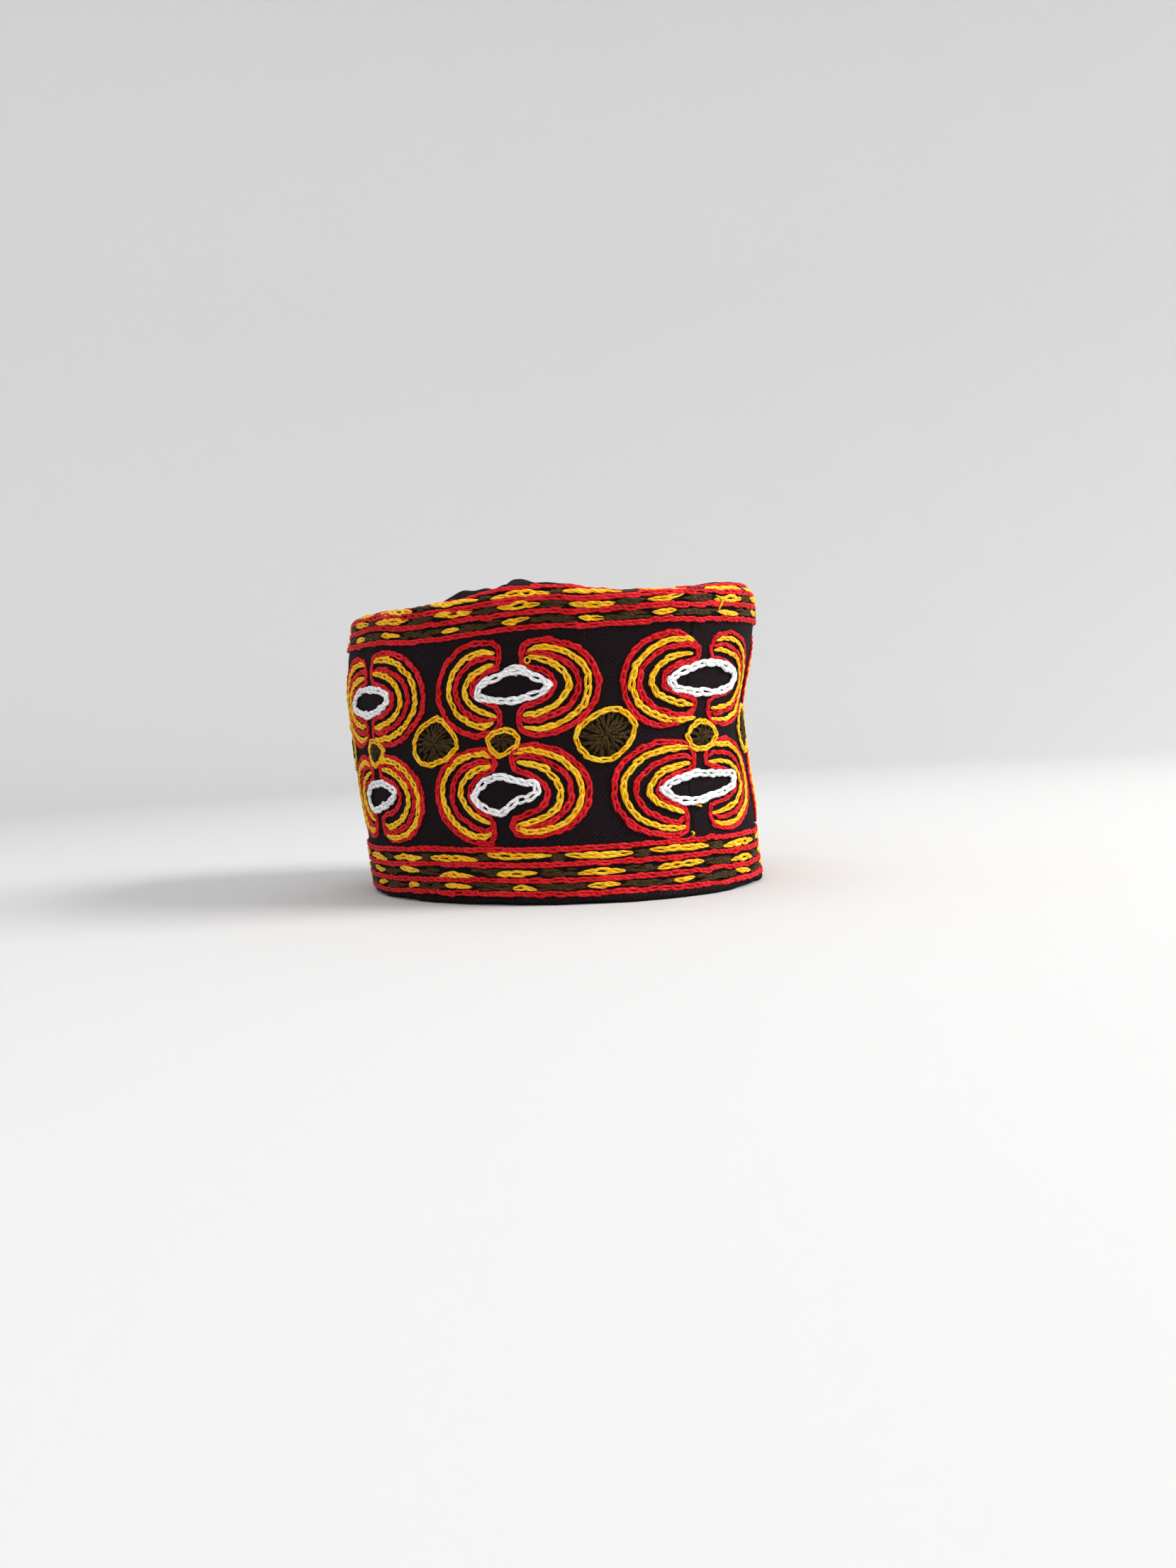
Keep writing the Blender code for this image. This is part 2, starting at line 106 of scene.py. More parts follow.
def turn_of(arc):
    """The oval's angle from the front at this arc."""
    turn = np.linspace(-math.pi, math.pi, 2001)
    speed = np.hypot(HALF_WIDTH * np.cos(turn), HALF_LENGTH * np.sin(turn))
    lengths = np.concatenate([[0.0], np.cumsum((speed[1:] + speed[:-1]) * np.diff(turn) / 2.0)])
    lengths = lengths - lengths[-1] / 2.0
    return np.interp(apart(arc, 0.0), lengths, turn)


print("a tenth of the way round is", round(math.degrees(turn_of(GIRTH / 10)), 1), "degrees")

# %% The shoulder's roll
SHOULDER = 119 * MM
SHOULDER_BLEND = 4.0 * MM
EDGE = 127 * MM
CROWN_BEND = 6 * MM
CROWN_TILT = 94.0
ROLL_STEPS = 24
# Each row: an arc in millimetres, and the cloth's lean above the shoulder there, in degrees from upright.
SHOULDER_LEAN = [
    (-260, 60), (-225, 56), (-180, 76), (-135, 84), (-112, 74), (-97, 56), (-88, 38), (-72, 42), (-62, 52),
    (-50, 74), (-40, 86), (-20, 86), (-8, 76), (4, 66), (14, 56), (30, 50), (45, 44), (75, 56), (110, 56),
    (160, 72), (215, 58),
]


def lean_of(arc):
    """The shoulder's lean at this arc, in radians."""
    arcs = np.array([row[0] for row in SHOULDER_LEAN]) * MM
    leans = np.radians([row[1] for row in SHOULDER_LEAN])
    arcs = np.concatenate([arcs, [arcs[0] + GIRTH]])
    leans = np.concatenate([leans, [leans[0]]])
    place = np.mod(arc - arcs[0], GIRTH) + arcs[0]
    row = np.clip(np.searchsorted(arcs, place, side="right") - 1, 0, len(arcs) - 2)
    part = smooth((place - arcs[row]) / (arcs[row + 1] - arcs[row]))
    return leans[row] + (leans[row + 1] - leans[row]) * part


def shoulder_run(arc, up):
    """How far the cloth has risen and gone inwards above the shoulder line."""
    along = np.maximum(up - SHOULDER, 0.0)
    lean = lean_of(arc)
    last = math.radians(CROWN_TILT)
    rise = np.zeros_like(along)
    inward = np.zeros_like(along)
    for step in range(ROLL_STEPS):
        place = along * (step + 0.5) / ROLL_STEPS
        tilt = lean * smooth(place / SHOULDER_BLEND)
        tilt = tilt + (last - tilt) * smooth((place + SHOULDER - EDGE) / CROWN_BEND)
        rise = rise + np.cos(tilt) * along / ROLL_STEPS
        inward = inward + np.sin(tilt) * along / ROLL_STEPS
    return rise, inward


print("the shoulder leans", round(math.degrees(lean_of(0.0))), "degrees at the front")

# %% From an arc and a way up to a point
MIDDLE = 61.5 * MM
FLARE = 0.4
SWAY = 7.2 * MM
SWAY_REACH = 60 * MM


def table(columns, *rows):
    """Rows of values as dictionaries, with the columns' names as keys."""
    return [dict(zip(columns.split(), row)) for row in rows]


HOLLOWS = table(
    "arc up half_arc half_up depth",
    (52, 75, 34, 16, 2.6),
    (52, 32, 34, 14, -1.4),
    (52, 122, 26, 7, 2.2),
    (-205, 38, 50, 30, 1.5),
    (-208, 66, 30, 10, 0.8),
    (-205, 118, 40, 10, 1.2),
)


def hollow_depth(arc, up):
    """How far the wall is pressed in here."""
    depth = np.zeros(np.broadcast(arc, up).shape)
    for hollow in HOLLOWS:
        beside = apart(arc, hollow["arc"]) / (hollow["half_arc"] * MM)
        above = (up - hollow["up"] * MM) / (hollow["half_up"] * MM)
        depth = depth + hollow["depth"] * MM * np.exp(-(beside**2) - above**2)
    return depth


def outer_face(arc, up):
    """A point of the cloth's outer face, before the cap is set in the frame's place."""
    rise, inward = shoulder_run(arc, up)
    inward = inward + hollow_depth(arc, up)
    height = np.minimum(up, SHOULDER) + rise
    turn = turn_of(arc)
    scale = 1.0 + FLARE * (height - MIDDLE)
    across = np.sin(turn)
    along = -np.cos(turn)
    normal = np.hypot(across / HALF_WIDTH, along / HALF_LENGTH)
    sway = SWAY * np.clip(1.0 - ((height - MIDDLE) / SWAY_REACH) ** 2, 0.0, 1.0)
    x = HALF_WIDTH * across * scale - inward * across / HALF_WIDTH / normal
    y = HALF_LENGTH * along * scale - inward * along / HALF_LENGTH / normal + sway
    return np.stack([x, y, height], axis=-1)


print("the shoulder's front is at", np.round(outer_face(np.array(0.0), np.array(SHOULDER)) / MM, 1), "mm")

# %% Set the wall where the frame's band is
BAND_FOOT = 3.5 * MM
band_low, band_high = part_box("band")
sample_arcs, sample_ups = np.meshgrid(np.arange(56) * GIRTH / 56, np.linspace(BAND_FOOT, EDGE, 60))
sample = outer_face(sample_arcs, sample_ups).reshape(-1, 3)
own_middle = (sample.min(axis=0) + sample.max(axis=0)) / 2.0
frame_middle = (np.array(band_low) + np.array(band_high)) / 2.0
PLACE = np.array([frame_middle[0] - own_middle[0], frame_middle[1] - own_middle[1], 0.0])
print("the wall moves by", np.round(PLACE / MM, 2), "mm to meet the frame")

# %% [markdown]
# The stitches need many thousands of points on the wall. Working each one out from the formulas would be
# slow, so the wall is worked out once on a fine grid, with its slight dents and with the direction that
# points straight out of it. Every later point is blended from the four grid points round it.

# %% A fine grid of the wall
GRID_UPS = np.arange(-1.0, 137.0, 1.0) * MM
GRID_ARCS = np.arange(0.0, GIRTH, 1.0 * MM)
DENT_FADE = {"foot": 18 * MM, "shoulder": 14 * MM}
DENTS = table(
    "waves lean depth start",
    (3, 14.0, 0.45, 0.4),
    (7, -22.0, 0.30, 2.1),
    (11, 35.0, 0.22, 4.0),
    (19, -48.0, 0.12, 1.3),
)


def dent_depth(arc, up):
    """Soft hollows and swells of hand-worked cloth, which end at the hem and at the shoulder."""
    depth = np.zeros(np.broadcast(arc, up).shape)
    for dent in DENTS:
        phase = 2.0 * math.pi * dent["waves"] * arc / GIRTH + dent["lean"] * up + dent["start"]
        depth = depth + dent["depth"] * MM * np.sin(phase)
    return depth * smooth(up / DENT_FADE["foot"]) * smooth((SHOULDER - up) / DENT_FADE["shoulder"])


def face_normal(points):
    """The outward direction at each point of a grid of ups by arcs that closes round the arcs."""
    side = np.roll(points, -1, axis=1) - np.roll(points, 1, axis=1)
    rise = np.gradient(points, axis=0)
    normal = np.cross(side, rise)
    return normal / np.linalg.norm(normal, axis=-1, keepdims=True)


arcs_here, ups_here = np.meshgrid(GRID_ARCS, GRID_UPS)
GRID_POINTS = outer_face(arcs_here, ups_here) + PLACE
GRID_NORMALS = face_normal(GRID_POINTS)
GRID_POINTS = GRID_POINTS + GRID_NORMALS * dent_depth(arcs_here, ups_here)[..., None]
GRID_NORMALS = face_normal(GRID_POINTS)
print("the wall's grid holds", GRID_POINTS.shape[0] * GRID_POINTS.shape[1], "points")

# %% A point of the cloth from the grid


def cloth_point(arc, up, outward):
    """A point this far out from the cloth, and the direction straight out of the cloth there."""
    column = np.mod(arc / MM, len(GRID_ARCS))
    row = np.clip((up - GRID_UPS[0]) / MM, 0.0, len(GRID_UPS) - 1.001)
    left = np.floor(column).astype(int) % len(GRID_ARCS)
    low = np.floor(row).astype(int)
    right = (left + 1) % len(GRID_ARCS)
    beside = (column - np.floor(column))[..., None]
    above = (row - low)[..., None]
    blended = []
    for grid in (GRID_POINTS, GRID_NORMALS):
        lower = grid[low, left] * (1.0 - beside) + grid[low, right] * beside
        upper = grid[low + 1, left] * (1.0 - beside) + grid[low + 1, right] * beside
        blended.append(lower * (1.0 - above) + upper * above)
    point, normal = blended
    normal = normal / np.linalg.norm(normal, axis=-1, keepdims=True)
    return point + normal * np.asarray(outward)[..., None], normal


front = cloth_point(np.zeros(1), np.full(1, MIDDLE), np.zeros(1))[0][0]
print("half way up, the front of the cloth is at", np.round(front / MM, 1), "mm")

# %% [markdown]
# ## Finishes
# Yarn and twill both need a pattern that follows the thread. Each gets a shader node group. The yarn group
# draws the plies that wind round a strand, from a map that runs along and round the strand, and paints
# shade into the grooves between the plies and a highlight into random patches. The twill group draws the
# diagonal ribs of the cloth from a map in millimetres, with painted shade in its grooves and in the seam's
# crease, and with a sewn seam, lint and dust on top. Each material then gives its own colours.

# %% Helpers for shader nodes
COLOUR = "NodeSocketColor"
VALUE = "NodeSocketFloat"


def new_group(name, inputs, outputs):
    """An empty shader group with named colour and value sockets."""
    group = bpy.data.node_groups.new(name, "ShaderNodeTree")
    for label, kind in inputs:
        group.interface.new_socket(name=label, in_out="INPUT", socket_type=kind)
    for label, kind in outputs:
        group.interface.new_socket(name=label, in_out="OUTPUT", socket_type=kind)
    entry = group.nodes.new("NodeGroupInput")
    leave = group.nodes.new("NodeGroupOutput")
    return group, entry.outputs, leave.inputs


def feed(tree, source, target):
    """Joins an output to an input, or sets the input to a plain value."""
    if isinstance(source, (int, float, tuple)):
        target.default_value = source
    else:
        tree.links.new(source, target)


def put(tree, kind, inputs, **settings):
    """A node with these settings, fed with values or with other nodes' outputs. It gives its outputs."""
    node = tree.nodes.new(kind)
    for name, value in settings.items():
        setattr(node, name, value)
    for name, source in inputs.items():
        feed(tree, source, node.inputs[name])
    return node.outputs


def sums(tree, operation, *values):
    """The result of a Math node over these values."""
    return put(tree, "ShaderNodeMath", dict(enumerate(values)), operation=operation)[0]


def ranged(tree, value, low, high):
    """How far the value has come from low to high, from 0 to 1."""
    return put(tree, "ShaderNodeMapRange", {"Value": value, "From Min": low, "From Max": high})["Result"]


def blend_colours(tree, factor, first, second):
    """The first colour where the factor is 0, and the second where it is 1."""
    inputs = {"Factor": factor, "A": first, "B": second}
    return put(tree, "ShaderNodeMix", inputs, data_type="RGBA")["Result"]


def noise(tree, place, look):
    """Soft random patches, with the look's scale, detail and roughness."""
    return put(tree, "ShaderNodeTexNoise", {"Vector": place, **look})["Fac"]


def map_of(tree, name):
    """A mesh map's place, and its two parts."""
    place = put(tree, "ShaderNodeUVMap", {}, uv_map=name)["UV"]
    split = put(tree, "ShaderNodeSeparateXYZ", {0: place})
    return place, split["X"], split["Y"]


print("a group's sockets are", COLOUR, "or", VALUE)

# %% The yarn group
STRAND_MAP = "strand"
TONE = "tone"
FIBRE = {"Scale": 2600.0, "Detail": 3.0, "Roughness": 0.65}
# Random patches that carry the painted highlight colour.
HIGHLIGHT_PATCHES = {"Scale": 160.0, "Detail": 2.0, "Roughness": 0.5}


def make_yarn_group():
    """Plies that wind round a strand, fibres, and a tone that differs from stitch to stitch.

    The grooves between the plies take a painted shade, and a painted highlight lies in random patches,
    more on some stitches than on others.
    """
    group, given, result = new_group(
        "spun yarn",
        [("Body", COLOUR), ("Valley", COLOUR), ("Bloom", COLOUR), ("Plies", VALUE), ("Twist", VALUE)],
        [("Colour", COLOUR), ("Roughness", VALUE), ("Height", VALUE)],
    )
    do = partial(sums, group)
    along, round_it = map_of(group, STRAND_MAP)[1:]
    wound = do("MULTIPLY", along, given["Twist"])
    plies = do("MULTIPLY", round_it, given["Plies"])
    phase = do("MULTIPLY", do("ADD", wound, plies), 2.0 * math.pi)
    ridge = do("MULTIPLY_ADD", do("SINE", phase), 0.5, 0.5)
    place = put(group, "ShaderNodeTexCoord", {})["Object"]
    fibre = noise(group, place, FIBRE)
    highlight_patches = noise(group, place, HIGHLIGHT_PATCHES)
    # Painted shade: deep in the plies' grooves, and where the fibre noise runs low, the yarn turns to the shade
    # colour.
    depth = do("MULTIPLY_ADD", fibre, 0.9, do("MULTIPLY", ridge, 0.55))
    body = blend_colours(group, ranged(group, depth, 0.3, 0.85), given["Valley"], given["Body"])
    tone = put(group, "ShaderNodeAttribute", {}, attribute_name=TONE)["Fac"]
    # Painted highlight: the lighter colour, laid in random patches and more on some stitches than on others.
    light = do("MULTIPLY", tone, do("MULTIPLY", highlight_patches, 0.75))
    feed(group, blend_colours(group, light, body, given["Bloom"]), result["Colour"])
    feed(group, do("MULTIPLY_ADD", fibre, 0.35, 0.42), result["Roughness"])
    feed(group, do("MULTIPLY_ADD", fibre, 0.5, ridge), result["Height"])
    return group


yarn_group = make_yarn_group()
print("yarn group:", len(yarn_group.nodes), "nodes")

# %% The twill group
CLOTH_MAP = "cloth"
TWILL_PITCH = 1.35
TWILL_SLANT = {"across": 0.66, "up": 0.75}
FLOATS_PER_RIB = 2.5
SEAM_ARC = -9.8
SEAM_HALF_WIDTH = 1.3
LINT_REACH = {"far": 5.0, "near": 0.5}
GRAIN = {"Scale": 1.6, "Detail": 4.0, "Roughness": 0.62}
WEAR = {"Scale": 0.045, "Detail": 3.0, "Roughness": 0.5}
SPECKS = {"Scale": 1.3, "Detail": 2.0, "Roughness": 0.5}


def weave_height(group, across, up):
    """The ribs of the twill, broken by its floats, from 0 in a groove to 1 on a rib."""
    do = partial(sums, group)
    sideways = do("MULTIPLY", across, TWILL_SLANT["across"])
    slant = do("SUBTRACT", sideways, do("MULTIPLY", up, TWILL_SLANT["up"]))
    rib = do("SINE", do("MULTIPLY", slant, 2.0 * math.pi / TWILL_PITCH))
    floats = do("SINE", do("MULTIPLY", up, 2.0 * math.pi / TWILL_PITCH * FLOATS_PER_RIB))
    broken = do("MULTIPLY", rib, floats)
    weave = do("MULTIPLY_ADD", broken, 0.25, do("MULTIPLY", rib, 0.5))
    return do("ADD", weave, 0.5)


def make_twill_group():
    """The twill with its uneven dye, a sewn seam, lint beside the seam and the dust that dark cloth shows.

    Its grooves and the seam's crease are painted in the shade colour.
    """
    group, given, result = new_group(
        "cotton twill",
        [("Body", COLOUR), ("Valley", COLOUR), ("Fluff", COLOUR), ("Dust", VALUE), ("Seam", VALUE)],
        [("Colour", COLOUR), ("Roughness", VALUE), ("Height", VALUE)],
    )
    do = partial(sums, group)
    flat, across, up = map_of(group, CLOTH_MAP)
    weave = weave_height(group, across, up)
    grain = noise(group, flat, GRAIN)
    wear = noise(group, flat, WEAR)
    fleck = ranged(group, noise(group, flat, SPECKS), 0.66, 0.78)
    away = do("ABSOLUTE", do("SUBTRACT", across, SEAM_ARC))
    crease = do("SUBTRACT", ranged(group, away, 0.0, SEAM_HALF_WIDTH), 1.0)
    seam = do("MULTIPLY", given["Seam"], crease)
    beside = ranged(group, away, LINT_REACH["far"], LINT_REACH["near"])
    lint = do("MULTIPLY", given["Seam"], beside)
    contrast = do("POWER", do("MULTIPLY", grain, 1.8), 3.2)
    # Painted shade: the twill's grooves blend towards the shade colour, more where the random grain runs dark.
    raised = do("MULTIPLY", do("MULTIPLY_ADD", weave, 0.75, 0.2), contrast)
    # Painted shade: the cloth darkens in the seam's crease, which the bump presses in as well.
    raised = do("MULTIPLY", raised, do("MULTIPLY_ADD", seam, 0.8, 1.0))
    body = blend_colours(group, raised, given["Valley"], given["Body"])
    dust = do("MULTIPLY", given["Dust"], do("MULTIPLY", wear, grain))
    dusty = blend_colours(group, dust, body, given["Fluff"])
    share = do("MULTIPLY", fleck, do("MULTIPLY_ADD", lint, 0.6, 0.4))
    feed(group, blend_colours(group, share, dusty, given["Fluff"]), result["Colour"])
    feed(group, do("MULTIPLY_ADD", grain, 0.2, 0.72), result["Roughness"])
    cloth_height = do("MULTIPLY", weave, grain)
    feed(group, do("MULTIPLY_ADD", seam, 3.5, cloth_height), result["Height"])
    return group


twill_group = make_twill_group()
print("twill group:", len(twill_group.nodes), "nodes")

# %% Four yarns
YARN_GLOSS = 0.12
# Valley is the darker colour painted into the grooves between plies; Bloom is a lighter colour painted in random
# patches.
YARN_LOOKS = table(
    "name Body Valley Bloom Plies Twist relief",
    ("red yarn", (0.66, 0.005, 0.010), (0.12, 0.001, 0.002), (0.92, 0.030, 0.048), 3.0, 0.35, 0.20),
    ("yellow yarn", (0.98, 0.50, 0.006), (0.40, 0.13, 0.001), (1.0, 0.74, 0.06), 3.0, 0.30, 0.20),
    ("white yarn", (0.93, 0.93, 0.93), (0.40, 0.39, 0.42), (1.0, 1.0, 1.0), 3.0, 0.30, 0.18),
    ("olive brown wool", (0.048, 0.026, 0.005), (0.010, 0.005, 0.001), (0.10, 0.06, 0.014), 4.0, 0.5, 0.30),
)


def dressed_material(group, look, gloss):
    """A cloth material: its group feeds colour, roughness and a bump, and the faint gloss is set here."""
    material = bpy.data.materials.new(look["name"])
    material.use_nodes = True
    tree = material.node_tree
    shader = tree.nodes["Principled BSDF"]
    names = [item.name for item in group.interface.items_tree if item.in_out == "INPUT"]
    inputs = {name: (*look[name], 1.0) if isinstance(look[name], tuple) else look[name] for name in names}
    dressed = put(tree, "ShaderNodeGroup", inputs, node_tree=group)
    relief = {"Strength": 1.0, "Distance": look["relief"] * MM, "Height": dressed["Height"]}
    feed(tree, dressed["Colour"], shader.inputs["Base Color"])
    feed(tree, dressed["Roughness"], shader.inputs["Roughness"])
    feed(tree, put(tree, "ShaderNodeBump", relief)["Normal"], shader.inputs["Normal"])
    shader.inputs["Specular IOR Level"].default_value = gloss
    return material


YARNS = {look["name"].split()[0]: dressed_material(yarn_group, look, YARN_GLOSS) for look in YARN_LOOKS}
print("yarns:", list(YARNS))

# %% Two black twills
CLOTH_GLOSS = 0.05
# Valley is the colour painted into the twill's grooves and the seam's crease.
TWILL = {
    "name": "black twill",
    "Body": (0.0150, 0.0092, 0.0108),
    "Valley": (0.0030, 0.0014, 0.0017),
    "Fluff": (0.085, 0.075, 0.08),
    "Dust": 0.10,
    "Seam": 1.0,
    "relief": 0.16,
}
PLAIN_TWILL = {**TWILL, "name": "black twill of the crown", "Seam": 0.0, "relief": 0.20}
band_twill = dressed_material(twill_group, TWILL, CLOTH_GLOSS)
plain_twill = dressed_material(twill_group, PLAIN_TWILL, CLOTH_GLOSS)
print("cloths:", [cloth.name for cloth in (band_twill, plain_twill)])

# %% [markdown]
# ## Yarn as geometry
# Each stitch is a thin tube bent into a loop. All the tubes of one colour and one motif are made in one go
# with arrays, which is far quicker than a curve object for each: the middle lines of all strands are worked
# out first, then a ring of points is set round every point of them, and the rings are joined with faces.

# %% A mesh from arrays, and tubes round middle lines
TUBE_SIDES = 6
FLATNESS = 0.82
TINY = 1e-9


def build_mesh(name, points, faces, map_name, corner_map, tones, material):
    """A mesh object from arrays, with its map and its tone for each point."""
    mesh = bpy.data.meshes.new(name)
    mesh.from_pydata(points.tolist(), [], faces)
    layer = mesh.uv_layers.new(name=map_name)
    layer.data.foreach_set("uv", corner_map.astype(np.float32).ravel())
    if tones is not None:
        tone = mesh.attributes.new(TONE, "FLOAT", "POINT")
        tone.data.foreach_set("value", tones.astype(np.float32))
    mesh.materials.append(material)
    mesh.shade_smooth()
    made = bpy.data.objects.new(name, mesh)
    bpy.context.scene.collection.objects.link(made)
    return made


def unit(vectors):
    """The vectors at length 1."""
    return vectors / np.maximum(np.linalg.norm(vectors, axis=-1, keepdims=True), TINY)


def tube_arrays(centres, normals, radius, closed):
    """Rings of points round middle lines, which come as arrays of strands by points."""
    count, length = centres.shape[:2]
    if closed:
        tangent = np.roll(centres, -1, axis=1) - np.roll(centres, 1, axis=1)
    else:
        tangent = np.gradient(centres, axis=1)
    tangent = unit(tangent)
    side = unit(np.cross(tangent, normals))
    top = np.cross(side, tangent)
    angle = np.linspace(0.0, 2.0 * math.pi, TUBE_SIDES, endpoint=False)[None, None, :, None]
    flat = top * FLATNESS
    ring = side[:, :, None] * np.cos(angle) + flat[:, :, None] * np.sin(angle)
    points = centres[:, :, None] + ring * radius[:, :, None, None]
    rows = length if closed else length - 1
    strand, row, edge = np.meshgrid(np.arange(count), np.arange(rows), np.arange(TUBE_SIDES), indexing="ij")
    row_after = (row + 1) % length
    edge_after = (edge + 1) % TUBE_SIDES

    def index(rows_used, edges_used):
        return (strand * length + rows_used) * TUBE_SIDES + edges_used

    corners = [index(row, edge), index(row, edge_after), index(row_after, edge_after), index(row_after, edge)]
    faces = np.stack(corners, axis=-1).reshape(-1, 4)
    step = np.linalg.norm(np.diff(centres, axis=1), axis=-1)
    travel = np.concatenate([np.zeros((count, 1)), np.cumsum(step, axis=1)], axis=1) / MM
    travel = np.concatenate([travel, travel[:, -1:] + travel[:, 1:2]], axis=1)
    here, ahead = travel[strand, row], travel[strand, row + 1]
    along = np.stack([here, here, ahead, ahead], axis=-1)
    round_it = np.stack([edge, edge + 1, edge + 1, edge], axis=-1) / TUBE_SIDES
    corner_map = np.stack([along, round_it], axis=-1).reshape(-1, 2)
    return points.reshape(-1, 3), faces, corner_map


print("a strand has", TUBE_SIDES, "sides")

# %% Pieces of yarn


def strands_object(name, batches, material):
    """One mesh from several batches of strands: each has its centres, normals, radius and closing."""
    points, faces, maps, tones = [], [], [], []
    total = 0
    for centres, normals, radius, closed in batches:
        ring_points, ring_faces, ring_map = tube_arrays(centres, normals, radius, closed)
        points.append(ring_points)
        faces.append(ring_faces + total)
        maps.append(ring_map)
        tones.append(np.repeat(hand.random(len(centres)), centres.shape[1] * TUBE_SIDES))
        total += len(ring_points)
    points, faces, maps, tones = [np.concatenate(part) for part in (points, faces, maps, tones)]
    return build_mesh(name, points, faces.tolist(), STRAND_MAP, maps, tones, material)


def dress(piece, node):
    """Puts a piece in its node's place."""
    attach(piece, "root")
    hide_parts(node)


def dress_in_yarns(node, colours):
    """Makes a piece of each colour's batches, all in the node's place."""
    for colour, batches in colours.items():
        dress(strands_object(f"{node}_{colour}", batches, YARNS[colour]), node)


print("a piece of yarn can be", ", ".join(YARNS))

# %% [markdown]
# ## Paths on the chart
# A path is a list of places in millimetres on the flat chart. It is evened out, rounded at its corners and
# given the small wander of a hand-drawn line. Then it is cut into stitches of nearly equal length.

# %% Even out and round a path
PATH_STEP = 0.5
LEAST_ROUNDED = 8
DRIFTS = [{"reach": 3.5, "share": 0.6}, {"reach": 9.0, "share": 1.0}]
DRIFT_SCALE = 0.6
LEAST_SPREAD = 0.05


def travel_of(path):
    """How far along the path each of its points lies."""
    step = np.hypot(np.diff(path[:, 0]), np.diff(path[:, 1]))
    return np.concatenate([[0.0], np.cumsum(step)])


def spaced(path, count):
    """This many places, evenly spaced along the path."""
    travel = travel_of(path)
    marks = np.linspace(0.0, travel[-1], count)
    return np.stack([np.interp(marks, travel, path[:, axis]) for axis in (0, 1)], axis=1)


def even_path(path, step, closed):
    """The same path with points about this far apart."""
    path = np.asarray(path, float)
    if closed:
        path = np.vstack([path, path[:1]])
    even = spaced(path, max(2, int(round(travel_of(path)[-1] / step))) + 1)
    return even[:-1] if closed else even


def soften(values, reach, closed):
    """Values averaged with their neighbours over about this many steps each way."""
    margin = 3 * reach
    weights = np.exp(-0.5 * (np.arange(-margin, margin + 1) / reach) ** 2)
    weights = weights / weights.sum()
    padded = np.pad(values, margin, mode="wrap" if closed else "edge")
    return np.convolve(padded, weights, mode="valid")


def uneven(count, reach, depth):
    """Soft random values that close round the cap and spread by this depth."""
    drift = soften(hand.normal(size=count), reach, True)
    return drift / drift.std() * depth


def drawn_path(path, closed, rounding, wander):
    """A path as a hand draws it: evened, rounded and wandering by about this many millimetres."""
    even = even_path(path, PATH_STEP, closed)
    reach = max(1, int(round(rounding / PATH_STEP)))
    if len(even) > LEAST_ROUNDED:
        ends = even[[0, -1]].copy()
        even = np.stack([soften(even[:, axis], reach, closed) for axis in (0, 1)], axis=1)
        if not closed:
            even[0], even[-1] = ends
    count = len(even)
    for drifting in DRIFTS:
        reach = max(1, min(int(drifting["reach"] / PATH_STEP), count // 3))
        for axis in (0, 1):
            drift = soften(hand.normal(size=count), reach, closed)
            even[:, axis] += drift / max(drift.std(), LEAST_SPREAD) * wander * drifting["share"] * DRIFT_SCALE
    return even


print("a path is drawn with a point at every", PATH_STEP, "mm")

# %% Loops of chain stitch
LINK_POINTS = 12
# In millimetres, but for the last three columns: how high a loop rides over the tip before it, how full its
# belly is (a lower number is fuller), and how much an open line comes to a point at its ends.
STITCH_COLUMNS = ("length", "half_width", "radius", "stack", "fullness", "point")
STITCH_ROWS = {
    "motif red": (4.0, 0.74, 0.63, 0.44, 0.70, 0.15),
    "motif yellow": (4.2, 0.82, 0.65, 0.50, 0.75, 0.35),
    "eye white": (4.6, 1.00, 0.76, 0.50, 0.75, 0.2),
    "ring yellow": (4.4, 0.74, 0.57, 0.50, 0.75, 0.0),
    "border red": (4.8, 0.66, 0.61, 0.40, 0.72, 0.0),
    "border yellow": (5.8, 0.96, 0.66, 0.45, 0.95, 0.46),
}
STITCHES = {kind: dict(zip(STITCH_COLUMNS, row)) for kind, row in STITCH_ROWS.items()}
# How far a hand strays: the spread of each random draw.
UNEVEN = {"length": 0.10, "heading": 0.26, "width": 0.15, "radius": 0.08, "lean": 0.10, "height": 0.05}
LOOP_REACH = 1.28
LOOP_BEHIND = 0.06
NARROW_START = 0.3
END_WIDTH = 0.78
POINT_POWER = 1.4
TIP = {"share": 0.17, "spread": 0.13, "rise": 1.35}
LOOP_HEIGHT = 0.58
LOOP_ARCH = 0.15
SWELL = {"depth": 0.13, "waves": 3.0, "start": 6.0}


